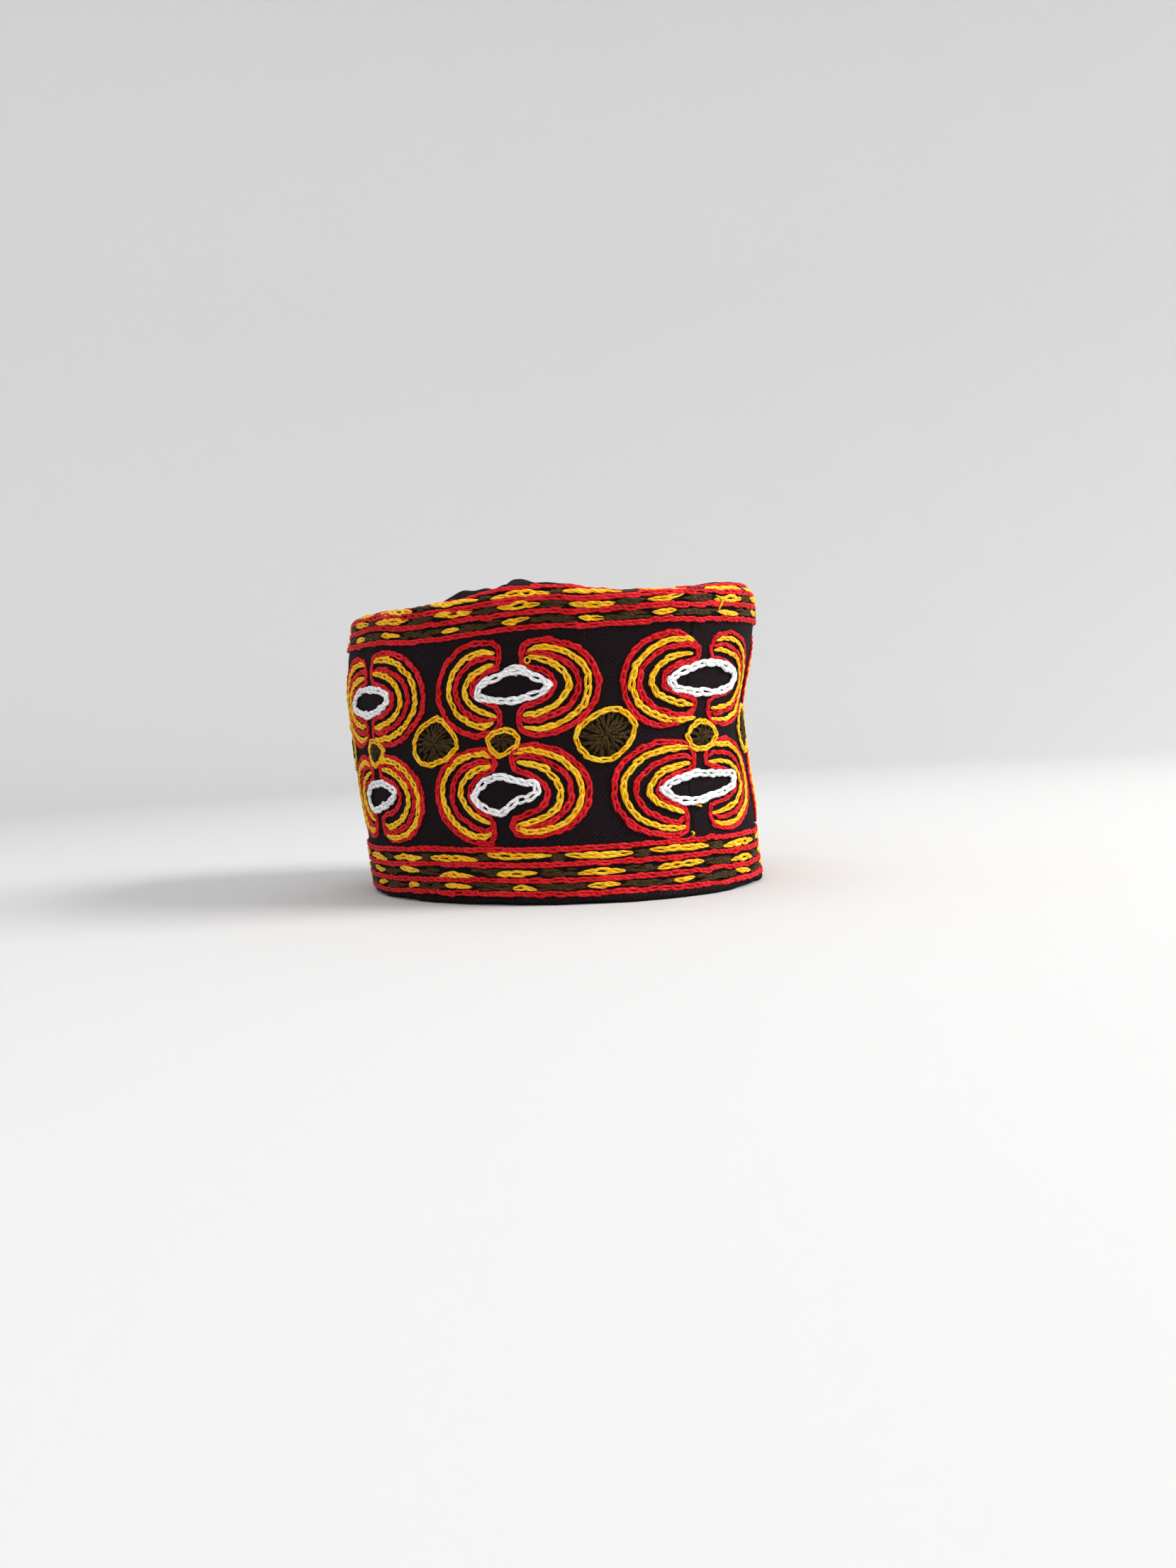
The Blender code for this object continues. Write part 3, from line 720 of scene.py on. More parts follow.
def chain_batch(path, kind, closed, lift, slim=1.0):
    """A batch of loops along a chart path: each opens from inside the one before and holds its tip down."""
    stitch = STITCHES[kind]
    marks = even_path(path, stitch["length"], closed)
    if closed:
        marks = np.vstack([marks, marks[:1]])
    count = len(marks) - 1
    shift = hand.normal(scale=UNEVEN["length"] * stitch["length"], size=max(count - 1, 0))
    marks[1:-1] += unit(marks[2:] - marks[:-2]) * shift[:, None]
    start = marks[:-1]
    step = marks[1:] - start
    length = np.linalg.norm(step, axis=1)
    turned = hand.normal(scale=UNEVEN["heading"] / stitch["length"], size=count)
    heading = np.arctan2(step[:, 1], step[:, 0]) + turned
    half = stitch["half_width"] * slim * (1.0 + hand.normal(scale=UNEVEN["width"], size=count))
    radius = stitch["radius"] * math.sqrt(slim) * (1.0 + hand.normal(scale=UNEVEN["radius"], size=count))
    if not closed and count > 1:
        half[[0, -1]] *= END_WIDTH
    turn = np.linspace(0.0, 2.0 * math.pi, LINK_POINTS, endpoint=False)[None, :]
    share = (0.5 - 0.5 * np.cos(turn)) * LOOP_REACH - LOOP_BEHIND
    along = share * length[:, None]
    lean = hand.normal(scale=UNEVEN["lean"], size=count)[:, None]
    bulge = np.sign(np.sin(turn)) * np.abs(np.sin(turn)) ** stitch["fullness"]
    bulge = bulge * np.abs(np.sin(turn / 2.0)) ** NARROW_START
    across = half[:, None] * (bulge + lean * np.sin(turn) ** 2)
    thin = np.ones((count, LINK_POINTS))
    if not closed:
        thin[-1] *= 1.0 - stitch["point"] * np.clip(share[0], 0.0, 1.0) ** POINT_POWER
        thin[0] *= 1.0 - stitch["point"] * np.clip(1.0 - share[0], 0.0, 1.0) ** POINT_POWER
    across = across * thin
    over_tip = TIP["rise"] * stitch["stack"] * np.exp(-(((share - TIP["share"]) / TIP["spread"]) ** 2))
    arch = LOOP_ARCH * np.sin(math.pi * np.clip(share, 0.0, 1.0))
    high = radius[:, None] * thin * (LOOP_HEIGHT + over_tip + arch)
    high = high + lift + hand.normal(scale=UNEVEN["height"], size=(count, 1))
    cos, sin = np.cos(heading)[:, None], np.sin(heading)[:, None]
    arcs = (start[:, :1] + along * cos - across * sin) * MM
    ups = (start[:, 1:] + along * sin + across * cos) * MM
    centres, normals = cloth_point(arcs, ups, high * MM)
    waves = turn * SWELL["waves"] + hand.random((count, 1)) * SWELL["start"]
    swell = 1.0 + SWELL["depth"] * np.sin(waves)
    return centres, normals, radius[:, None] * thin * swell * MM, True


print("stitch kinds:", len(STITCHES))

# %% Chain stitch along a line, and single strands
LINE_COLUMNS = ("colour", "kind", "closed", "rounding", "wander", "lift")
LINE_ROWS = {
    "outline": ("red", "motif red", True, 2.2, 0.35, 0.0),
    "middle": ("red", "motif red", False, 1.5, 0.3, 0.0),
    "inner": ("yellow", "motif yellow", False, 1.5, 0.3, 0.28),
    "outer": ("yellow", "motif yellow", False, 1.5, 0.3, 0.28),
    "eye": ("white", "eye white", True, 0.7, 0.12, 0.35),
    "ring": ("yellow", "ring yellow", True, 1.8, 0.2, 0.42),
}
LINES = {name: dict(zip(LINE_COLUMNS, row)) for name, row in LINE_ROWS.items()}
STRAND_POINTS = 7
STRAND_ARCH = 0.6
STRAND_END = 0.35


def stitched(path, name, slim=1.0):
    """A motif's line: drawn by hand along the path, then worked in its own chain stitch."""
    line = LINES[name]
    drawn = drawn_path(path, line["closed"], line["rounding"], line["wander"])
    return chain_batch(drawn, line["kind"], line["closed"], line["lift"], slim)


def plain_batch(paths, radius, height, points=STRAND_POINTS):
    """Straight or curved single strands that lie on the cloth, thin at both ends."""
    arch = np.sin(np.linspace(0.0, math.pi, points)) ** STRAND_ARCH
    centres, normals = [], []
    for path in paths:
        places = spaced(np.asarray(path, float), points) * MM
        centre, normal = cloth_point(places[:, 0], places[:, 1], (arch * height) * MM)
        centres.append(centre)
        normals.append(normal)
    size = radius * (STRAND_END + (1.0 - STRAND_END) * arch) * MM
    return np.array(centres), np.array(normals), np.tile(size, (len(paths), 1)), False


print("a motif's lines:", list(LINES))

# %% [markdown]
# ## The chart
# Seven columns of motifs stand round the band. In each, an upper and a lower medallion hold a white eye
# between two crescents, with a small disc between them, and a large disc stands half way to the next
# column. The three columns that differ most are charted one by one, in millimetres across from the column's
# own line and up from the floor. "inner", "middle" and "outer" say where a crescent's inner yellow, middle
# red and outer yellow lines lie, from the eye at 0 to the crescent's outline at 1. A slim crescent has
# narrower stitches.

# %% Medallions
EYE_COLUMNS = "left right low high"
SIDE_COLUMNS = "far apex low high end_high end_low inner middle outer slim"
MEDALLION_ROWS = {
    "upper": [
        [(-17, 23.3, 80, 94),
         (-35.5, -17, 68, 106, -2.5, -2.3, 0.26, 0.55, 0.74, 1.0),
         (38.5, 16, 67.5, 105.5, 4.5, 4.2, 0.34, 0.55, 0.76, 0.66)],
        [(-13.4, 20.1, 80, 94.6),
         (-32.5, -12, 68, 106, -2.4, -2.6, 0.20, 0.47, 0.66, 1.0),
         (39, 15, 67.2, 105.5, 7, 6, 0.30, 0.52, 0.75, 1.0)],
        [(-22, 20.9, 78, 92.2),
         (-37, -16, 66, 105, -2, -2.2, 0.24, 0.50, 0.72, 1.0),
         (42, 16, 66.4, 105.6, 4.6, 3.6, 0.30, 0.50, 0.75, 1.0)],
    ],
    "lower": [
        [(-20.3, 21.5, 36.3, 50),
         (-40, -17, 24.2, 62.5, -3.5, -9, 0.20, 0.48, 0.74, 1.0),
         (36.5, 14, 24.2, 62.5, 2.6, 3, 0.28, 0.52, 0.77, 0.76)],
        [(-18, 14.7, 36, 53.5),
         (-37, -15, 24.6, 63.6, -4.8, -9, 0.24, 0.51, 0.76, 1.0),
         (34, 10, 27.3, 64, 1.8, -0.6, 0.33, 0.56, 0.79, 1.0)],
        [(-12.5, 21, 36.8, 51.4),
         (-34, -14, 26, 61.8, -1, -3.4, 0.26, 0.52, 0.75, 1.0),
         (37.4, 15, 24.6, 61.8, 6.4, 2.6, 0.40, 0.61, 0.81, 1.0)],
    ],
}
MEDALLIONS = {
    place: [{"eye": table(EYE_COLUMNS, eye)[0], "sides": table(SIDE_COLUMNS, *sides)} for eye, *sides in rows]
    for place, rows in MEDALLION_ROWS.items()
}
print("charted medallions:", sum(len(rows) for rows in MEDALLIONS.values()))

# %% The white line round each eye
EYES = {
    "upper": [
        [(-15.3, 86.6), (-13, 89), (-6.3, 91), (-1.9, 92.8), (4.6, 93.6), (11.1, 92.3), (16.9, 90.8),
         (21.4, 89.6), (22.7, 87.6), (21, 84.6), (12.6, 81.4), (5.3, 80.9), (-1.2, 81.4), (-7, 82.5),
         (-12.1, 83.6), (-15, 84.4)],
        [(-11.9, 84.3), (-12.2, 87.2), (-7.8, 89.8), (-2.8, 91.9), (3, 93.4), (7.4, 93.4), (11.7, 91.5),
         (16.1, 89.9), (19, 87.9), (18.6, 85.6), (14.6, 84.3), (9.5, 82.9), (3.7, 81.6), (-0.6, 81.8),
         (-5.6, 82.9)],
        [(-20.6, 84.2), (-18.2, 86.9), (-13.9, 89), (-8.8, 90.5), (-3.7, 91), (2.1, 90.5), (7.9, 90.1),
         (13.7, 89.4), (18.4, 88.2), (19.8, 86.3), (17.6, 84), (9.3, 80.7), (4.2, 79.6), (-0.8, 78.9),
         (-5.9, 80), (-16.8, 81.8)],
    ],
    "lower": [
        [(-19, 43.4), (-17.1, 45.4), (-12.1, 46.9), (-6.3, 48.6), (-0.5, 49), (4.6, 48.6), (10.4, 47.7),
         (19.1, 47.7), (20.9, 45.9), (20.5, 43.4), (16.2, 41.6), (10.4, 40.1), (4.6, 39), (-5.2, 37.4),
         (-9.9, 37.7), (-17.5, 41.2)],
        [(-16.9, 43.4), (-15.8, 45.9), (-12.2, 49.2), (-8.2, 51.9), (-3.5, 52.4), (0.8, 51), (5.9, 49.9),
         (11, 48.8), (13.9, 47.6), (12.4, 45.2), (8.1, 43), (3, 41.9), (-0.6, 39), (-4.2, 37), (-8.2, 37.2),
         (-15.5, 40.8)],
        [(-11, 44.1), (-8.1, 47.7), (-3, 49.5), (2.8, 50.3), (8.6, 49.9), (14.4, 48.3), (18.4, 47.2),
         (19.5, 45), (15.1, 43), (10, 41.2), (5, 39.8), (-0.1, 38.7), (-5.2, 38.3), (-8.6, 40.1)],
    ],
}
print("eye points:", sum(len(eye) for row in EYES.values() for eye in row))

# %% Rings of the discs
SMALL_RINGS = [
    [(-7.4, 64.4), (-4.1, 68.4), (1, 70.2), (6, 68.7), (10.4, 63.3), (6.8, 60.4), (1, 57.5), (-1.9, 58.6),
     (-5.2, 61.5)],
    [(-9.7, 67.7), (-5.7, 69.8), (-0.6, 71.5), (3.7, 69.8), (6.6, 66.6), (4.5, 63.7), (0.8, 61.9), (-2, 59.7),
     (-7.2, 63.4)],
    [(-3.7, 64.4), (-0.5, 68), (5, 68.7), (10, 66.6), (14.4, 64), (9.3, 61.5), (5.7, 57.9), (2.1, 57.5),
     (-1.6, 61.1)],
]
LARGE_RINGS = [
    [(-11, 66), (-7.5, 71.4), (-2, 75), (4, 75.6), (9, 73), (12.6, 67), (10.6, 61), (5, 56.6), (-2, 55.6),
     (-8, 60)],
    [(-13, 65.8), (-10.5, 69.5), (-6.5, 73.1), (-1.4, 76), (3.6, 76.7), (8, 74.5), (11.2, 70.9), (12, 67.3),
     (9.4, 62.2), (5.1, 57.9), (-0.7, 55.7), (-5.1, 56.8), (-9.4, 60.4)],
    [(-6.6, 66.6), (-3, 71.3), (1, 74.2), (8.6, 76.4), (12.6, 73.8), (16.2, 70.2), (19.1, 64.8), (15.5, 61.9),
     (10.4, 59), (4.6, 57.5), (-1.2, 57.2), (-4.5, 60.8)],
]
print("disc rings:", len(SMALL_RINGS) + len(LARGE_RINGS))

# %% Where a column stands
COLUMNS = 7
COLUMN_PITCH = GIRTH / COLUMNS / MM
FIRST_COLUMN = -3.0
COLUMN_CHARTS = (0, 1, 0, 1, 0, 2, 1)
CHARTED_COLUMNS = (0, 5, 6)
REPEAT_SEED = 1000
REPEAT_UNEVEN = 0.02


def settled(path, column, level):
    """A charted path at its column. Where a column repeats a chart, it is turned and stretched a little."""
    path = np.asarray(path, float).copy()
    if column not in CHARTED_COLUMNS:
        own = np.random.default_rng(REPEAT_SEED + column)
        tilt, stretch = own.normal(scale=REPEAT_UNEVEN), 1.0 + own.normal(scale=REPEAT_UNEVEN)
        offset = path - np.array([0.0, level])
        cos, sin = math.cos(tilt), math.sin(tilt)
        path[:, 0] = offset[:, 0] * cos * stretch - offset[:, 1] * sin
        path[:, 1] = offset[:, 0] * sin + offset[:, 1] * cos + level
    path[:, 0] += FIRST_COLUMN + column * COLUMN_PITCH
    return path


print("the columns stand", round(COLUMN_PITCH, 1), "mm apart")

# %% [markdown]
# ## Crescents
# A crescent's lines are a family: each is part of an oval between the eye's outline and the crescent's own
# outline. The red outline is one closed line that runs along the outside, turns in at the gap, follows the
# eye and turns out again. The other lines stop short of the gap.

# %% The lines of one crescent
EYE_MARGIN = 1.3
MARGIN_UP = 0.6
LINE_POINTS = 45
OUTLINE_SHARE = 0.96
# Each line: how far round its oval it reaches, in degrees, and how far it stops short of the gap.
LINE_SPANS = {
    "outline": (138.0, 0.0),
    "eye": (102.0, 0.0),
    "middle": (116.0, 1.4),
    "inner": (100.0, 2.6),
    "outer": (112.0, 2.4),
}


def crescent_line(eye, side, share, name):
    """A line of a crescent from its high end to its low end, this share of the way out from the eye."""
    reach, short = LINE_SPANS[name]
    eye_middle = (eye["left"] + eye["right"]) / 2.0
    facing = 1.0 if side["far"] > eye_middle else -1.0
    near = (eye["right"] if facing > 0.0 else eye["left"]) + facing * EYE_MARGIN
    angles = np.radians(np.linspace(reach, -reach, LINE_POINTS))
    middle = eye_middle + (side["apex"] - eye_middle) * share
    width = (near - eye_middle) * (1.0 - share) + (side["far"] - side["apex"]) * share
    level = (eye["low"] + eye["high"]) / 2.0
    level = level + ((side["low"] + side["high"]) / 2.0 - level) * share
    half_eye = (eye["high"] - eye["low"]) / 2.0 + EYE_MARGIN * MARGIN_UP
    half_height = half_eye + ((side["high"] - side["low"]) / 2.0 - half_eye) * share
    across = middle + width * np.cos(angles)
    up = level + half_height * np.sin(angles)
    end = np.where(angles > 0.0, side["end_high"], side["end_low"]) + facing * short
    across = np.maximum(across, end) if facing > 0.0 else np.minimum(across, end)
    return np.stack([across, up], axis=1)


def crescent_paths(eye, side):
    """The closed red outline, the middle red line and the two yellow lines."""
    outside = crescent_line(eye, side, OUTLINE_SHARE, "outline")
    inside = crescent_line(eye, side, 0.0, "eye")[::-1]
    paths = {"outline": np.vstack([outside, inside])}
    for name in ("middle", "inner", "outer"):
        paths[name] = crescent_line(eye, side, side[name], name)
    return paths


first = MEDALLIONS["upper"][0]
first_outline = crescent_paths(first["eye"], first["sides"][0])["outline"]
print("the first crescent's outline is", round(travel_of(first_outline)[-1]), "mm long")

# %% Stitch the medallions
OVERSTITCH = {"path": [(0.2, 94.0), (4.0, 95.0), (8.4, 94.6)], "lift": 0.7, "slim": 0.8}
EYE_TAIL = {"path": [(4.6, 93.4), (5.2, 92.2), (5.0, 91.2)], "radius": 0.45, "height": 1.8}


def stitch_medallion(row, column):
    """The red, yellow and white stitches of one medallion, each colour a piece of its own."""
    number = COLUMN_CHARTS[column]
    chart = MEDALLIONS[row][number]
    eye = chart["eye"]
    level = (eye["low"] + eye["high"]) / 2.0
    colours = {"red": [], "yellow": [], "white": []}
    for side in chart["sides"]:
        for name, path in crescent_paths(eye, side).items():
            batch = stitched(settled(path, column, level), name, side["slim"])
            colours[LINES[name]["colour"]].append(batch)
    white = colours["white"]
    white.append(stitched(settled(EYES[row][number], column, level), "eye"))
    if row == "upper" and number == 1:
        over = settled(OVERSTITCH["path"], column, level)
        white.append(chain_batch(over, "eye white", False, OVERSTITCH["lift"], OVERSTITCH["slim"]))
        tail = settled(EYE_TAIL["path"], column, level)
        white.append(plain_batch([tail], EYE_TAIL["radius"], EYE_TAIL["height"]))
    dress_in_yarns(f"medallion_{row}_{column + 1}", colours)


for row in ("upper", "lower"):
    for column in range(COLUMNS):
        stitch_medallion(row, column)
print("medallions stitched:", 2 * COLUMNS)

# %% [markdown]
# ## Discs
# A disc is filled with long woolly stitches from its middle out to its edge, and ringed with yellow chain
# stitch. The woolly stitches cross and lie over each other near the middle.

# %% Stitch the discs
SMALL_DISC = {"level": 65.0, "spokes": 20, "wool": 0.55}
LARGE_DISC = {"level": 66.0, "spokes": 30, "wool": 0.62}
DISC_LAYERS = [
    {"begin": 0.42, "finish": 0.90, "fewer": 1},
    {"begin": 0.12, "finish": 0.66, "fewer": 1},
    {"begin": 0.0, "finish": 0.40, "fewer": 2},
]
LAYER_TURN = 0.4
SPOKE_POINTS = 5
SPOKE_UNEVEN = {"place": 0.7, "begin": 0.07, "finish": 0.035, "bend": 0.07}
SPOKE_HEIGHT = {"low": 0.55, "spread": 0.25, "layer": 0.35}


def spoke_paths(even, middle, spokes):
    """The olive strands of a disc, layer by layer, from near its middle to near its ring."""
    paths = []
    for number, layer in enumerate(DISC_LAYERS):
        count = spokes // layer["fewer"]
        shift = hand.random(count) * SPOKE_UNEVEN["place"] + LAYER_TURN * number
        for place in (np.arange(count) + shift) / count * len(even):
            edge = even[int(place) % len(even)]
            begin = layer["begin"] + hand.normal(scale=SPOKE_UNEVEN["begin"])
            finish = layer["finish"] + hand.normal(scale=SPOKE_UNEVEN["finish"])
            aside = np.array([edge[1] - middle[1], middle[0] - edge[0]])
            bend = aside * hand.normal(scale=SPOKE_UNEVEN["bend"])
            shares = np.linspace(begin, finish, SPOKE_POINTS)
            line = [middle + (edge - middle) * share + bend * math.sin(math.pi * share) for share in shares]
            paths.append(line)
    return paths


def stitch_disc(node, ring, column, level, spokes, wool):
    """The olive spokes and the yellow ring of one disc."""
    outline = settled(ring, column, level)
    paths = spoke_paths(even_path(outline, PATH_STEP, True), outline.mean(axis=0), spokes)
    third = len(paths) // 3
    olive = []
    for number, part in enumerate((paths[:third], paths[third:2 * third], paths[2 * third:])):
        height = SPOKE_HEIGHT["low"] + SPOKE_HEIGHT["spread"] * hand.random() + SPOKE_HEIGHT["layer"] * number
        olive.append(plain_batch(part, wool, height))
    dress_in_yarns(node, {"olive": olive})
    dress_in_yarns(node, {"yellow": [stitched(outline, "ring")]})


for column in range(COLUMNS):
    chart = COLUMN_CHARTS[column]
    stitch_disc(f"small_disc_{column + 1}", SMALL_RINGS[chart], column, **SMALL_DISC)
    between = np.asarray(LARGE_RINGS[chart], float) + np.array([COLUMN_PITCH / 2.0, 0.0])
    stitch_disc(f"large_disc_{column + 1}", between, column, **LARGE_DISC)
print("discs stitched:", 2 * COLUMNS)

# %% [markdown]
# ## Borders
# Each border has four red lines with three rows of dashes between them. In every row yellow dashes
# alternate with olive ones. A yellow dash is a few chain stitches, and an olive one is a bundle of soft
# strands side by side. The yellow dashes of the three rows stand over each other and shorten from row to
# row, so that they form a stepped figure. The figures that show in front are charted, by the arc of their
# middle and the lengths of their three dashes, and the others follow the same rule.

# %% The borders' chart
RED_LINES = {"top": (126.5, 121.0, 116.3, 110.6), "bottom": (21.9, 15.8, 9.5, 4.1)}
DASH_ROWS = {"top": (123.0, 118.9, 113.3), "bottom": (18.8, 12.6, 6.8)}
FIGURES = {
    "top": [
        (-146, (28, 25, 13)), (-110, (24, 18, 8.5)), (-80, (23, 17, 11)), (-51, (21, 16, 9.5)),
        (-22, (20, 15, 9.5)), (10, (26, 18, 13)), (40, (25, 17, 11)),
    ],
    "bottom": [
        (-177, (22, 15, 13)), (-146, (21, 14, 8)), (-117, (24, 18, 12)), (-84, (27, 17, 9)),
        (-51, (27, 18, 12)), (-17, (26, 20, 10)), (19, (26, 18, 12)),
    ],
}
FIGURE_PITCH = GIRTH_MM / 18.0
FIGURE_LENGTHS = (24, 17.5, 11)
FIGURE_UNEVEN = {"centre": 1.2, "length": 1.4}


def border_figures(border):
    """The charted figures, and after them the rest of the way round at the usual pitch."""
    figures = list(FIGURES[border])
    first, last = figures[0][0], figures[-1][0]
    room = GIRTH_MM - (last - first)
    count = int(round(room / FIGURE_PITCH)) - 1
    for number in range(1, count + 1):
        centre = last + room * number / (count + 1) + hand.normal(scale=FIGURE_UNEVEN["centre"])
        lengths = tuple(length + hand.normal(scale=FIGURE_UNEVEN["length"]) for length in FIGURE_LENGTHS)
        figures.append((centre, lengths))
    return figures


print("charted figures:", sum(len(figures) for figures in FIGURES.values()))

# %% Level lines and woolly dashes
# Each row: an arc, and how far the top border sags there.
SAG_ROWS = [
    (-285, 0.0), (-152, 0.4), (-140, 1.8), (-115, 1.8), (-103, 1.5), (-91, 0.9), (-80, 0.4), (-68, 0.3),
    (-57, 1.3), (-40, 1.2), (-27, 0.3), (-15, 0.0), (285, 0.0),
]
SAG_END = 126.0
SAG_FADE = 5.0
TOP_BORDER_ABOVE = 100.0
LINE_STEP = 3.0
LINE_ROUNDING = 1.0
LINE_WANDER = 0.12
DASH = {"per_mm": 1.15, "least": 4, "short": 4.2, "spread": 3.0, "beside": 1.15, "slant": 0.22}
DASH_WOOL = {"radius": 0.66, "low": 0.45, "spread": 0.40, "points": 5}


def sagged(path):
    """The path of a top border line, which sags in two places left of the front. The highest line doesn't."""
    arcs = np.mod(path[:, 0] + GIRTH_MM / 2.0, GIRTH_MM) - GIRTH_MM / 2.0
    drop = np.interp(arcs, [row[0] for row in SAG_ROWS], [row[1] for row in SAG_ROWS])
    held = np.clip((SAG_END - path[:, 1]) / SAG_FADE, 0.0, 1.0) * (path[:, 1] > TOP_BORDER_ABOVE)
    return np.stack([path[:, 0], path[:, 1] - drop * held], axis=1)


def flat_line(start, end, level, sway, wander=LINE_WANDER):
    """A nearly level path between two arcs, that wanders with its border."""
    arcs = np.linspace(start, end, max(3, int((end - start) / LINE_STEP)))
    places = np.mod(arcs, GIRTH_MM) / GIRTH_MM * len(sway)
    drift = np.interp(places, np.arange(len(sway) + 1), np.append(sway, sway[0]))
    path = np.stack([arcs, level + drift], axis=1)
    return sagged(drawn_path(path, False, LINE_ROUNDING, wander))


def woolly_dash(start, end, level, sway):
    """The soft strands of one olive dash: they lie side by side and over each other along the row."""
    line = flat_line(start, end, level, sway)
    points = DASH_WOOL["points"]
    paths = []
    for _ in range(max(DASH["least"], int((end - start) * DASH["per_mm"]))):
        length = min(end - start, DASH["short"] + DASH["spread"] * hand.random())
        first = start + (end - start - length) * hand.random()
        arcs = np.linspace(first, first + length, points)
        beside = DASH["beside"] * (2.0 * hand.random() - 1.0)
        slant = hand.normal(scale=DASH["slant"]) * np.linspace(-1.0, 1.0, points)
        ups = np.interp(arcs, line[:, 0], line[:, 1]) + beside + slant
        paths.append(np.stack([arcs, ups], axis=1))
    height = DASH_WOOL["low"] + DASH_WOOL["spread"] * hand.random()
    return plain_batch(paths, DASH_WOOL["radius"], height, points)


print("a woolly dash has", DASH["per_mm"], "strands for each mm")

# %% Stitch the borders
BORDER_SWAY = {"count": 190, "reach": 9, "depth": 0.28}
RED_LIFT = 0.15
YELLOW_DASH = {"before": 0.5, "short": 0.6, "uneven": 0.12, "wander": 0.34, "lift": 0.2}
OLIVE_DASH = {"before": 0.8, "beyond": 0.6}


def stitch_border(border):
    """The red lines and the yellow and olive dashes of one border."""
    sway = uneven(**BORDER_SWAY)
    red, yellow, olive = [], [], []
    for level in RED_LINES[border]:
        red.append(chain_batch(flat_line(0.0, GIRTH_MM, level, sway), "border red", False, RED_LIFT))
    figures = border_figures(border)
    centres = np.array([centre for centre, _ in figures])
    nexts = np.append(centres[1:], centres[0] + GIRTH_MM)
    for number, level in enumerate(DASH_ROWS[border]):
        starts = [centre - lengths[number] / 2.0 for centre, lengths in figures]
        ends = [centre + lengths[number] / 2.0 for centre, lengths in figures]
        for index in range(len(figures)):
            start, end = starts[index] - YELLOW_DASH["before"], ends[index] - YELLOW_DASH["short"]
            own_level = level + hand.normal(scale=YELLOW_DASH["uneven"])
            line = flat_line(start, end, own_level, sway, YELLOW_DASH["wander"])
            yellow.append(chain_batch(line, "border yellow", False, YELLOW_DASH["lift"]))
            following = (index + 1) % len(figures)
            after = starts[following] + (nexts[index] - centres[following])
            begin, finish = ends[index] - OLIVE_DASH["before"], after + OLIVE_DASH["beyond"]
            olive.append(woolly_dash(begin, finish, level, sway))
    dress_in_yarns(f"{border}_border", {"red": red, "yellow": yellow, "olive": olive})


stitch_border("top")
stitch_border("bottom")
print("borders stitched:", list(RED_LINES))

# %% [markdown]
# ## The cloth
# The band, the crown and the hem are shells with an outside and an inside. They are made as fine grids,
# closed round the cap, so that the soft dents and the rolled shoulder are smooth in the mesh itself.

# %% Shells of cloth
BAND_WALL = 2.0 * MM
CROWN_WALL = 1.9 * MM
CLOTH_STATIONS = 384
cloth_arcs = np.arange(CLOTH_STATIONS) * GIRTH / CLOTH_STATIONS


def cloth_loop(up, outward):
    """A loop all round the cap, this way up the cloth and this far out from it."""
    return cloth_point(cloth_arcs, np.full(CLOTH_STATIONS, up), np.full(CLOTH_STATIONS, outward))[0]


def shell_object(name, loops, material, sheet_map=None, poles=None, joined=False):
    """A shell from closed loops. joined closes the last loop to the first; poles close a disc's two faces.

    sheet_map gives each loop's way up the cloth. Without it the cloth's map is flat, seen from above.
    """
    count = len(loops[0])
    rows = len(loops)
    row, step = np.meshgrid(np.arange(rows if joined else rows - 1), np.arange(count), indexing="ij")
    row_after = (row + 1) % rows
    after = (step + 1) % count
    corners = [row * count + step, row * count + after, row_after * count + after, row_after * count + step]
    faces = np.stack(corners, axis=-1).reshape(-1, 4).tolist()
    points = np.concatenate(loops)
    if poles is not None:
        total = len(points)
        points = np.concatenate([points, poles])
        last = (rows - 1) * count
        for here in range(count):
            there = (here + 1) % count
            faces.append([last + here, last + there, total])
            faces.append([there, here, total + 1])
    if sheet_map is None:
        corner_map = points[np.concatenate(faces), :2] / MM
    else:
        arc = np.stack([step, step + 1, step + 1, step], axis=-1) / count * GIRTH / MM
        arc = np.where(arc > GIRTH_MM / 2.0 + 1.0, arc - GIRTH_MM, arc)
        here, beyond = sheet_map[row], sheet_map[row_after]
        up = np.stack([here, here, beyond, beyond], axis=-1)
        corner_map = np.stack([arc, up], axis=-1).reshape(-1, 2)
    return build_mesh(name, points, faces, CLOTH_MAP, corner_map, None, material)


print("a loop of cloth has", CLOTH_STATIONS, "points")

# %% The band
CLOTH_FOOT = 3.4 * MM
OUTER_LOOPS = 66
INNER_LOOPS = 22
outer_ups = np.linspace(CLOTH_FOOT, EDGE, OUTER_LOOPS)
inner_ups = np.linspace(EDGE, CLOTH_FOOT, INNER_LOOPS)
band_loops = [cloth_loop(up, 0.0) for up in outer_ups] + [cloth_loop(up, -BAND_WALL) for up in inner_ups]
band_map = np.concatenate([outer_ups, inner_ups]) / MM
band_piece = shell_object("band_cloth", band_loops, band_twill, band_map, joined=True)
dress(band_piece, "band")
print("band faces:", len(band_piece.data.polygons))

# %% [markdown]
# The crown comes over the shoulder and lies slack. Two soft ridges stand up behind the left side of the
# front, where the cloth is pushed up, and the rest falls into shallow hollows with fine creases that run in
# from the seam.

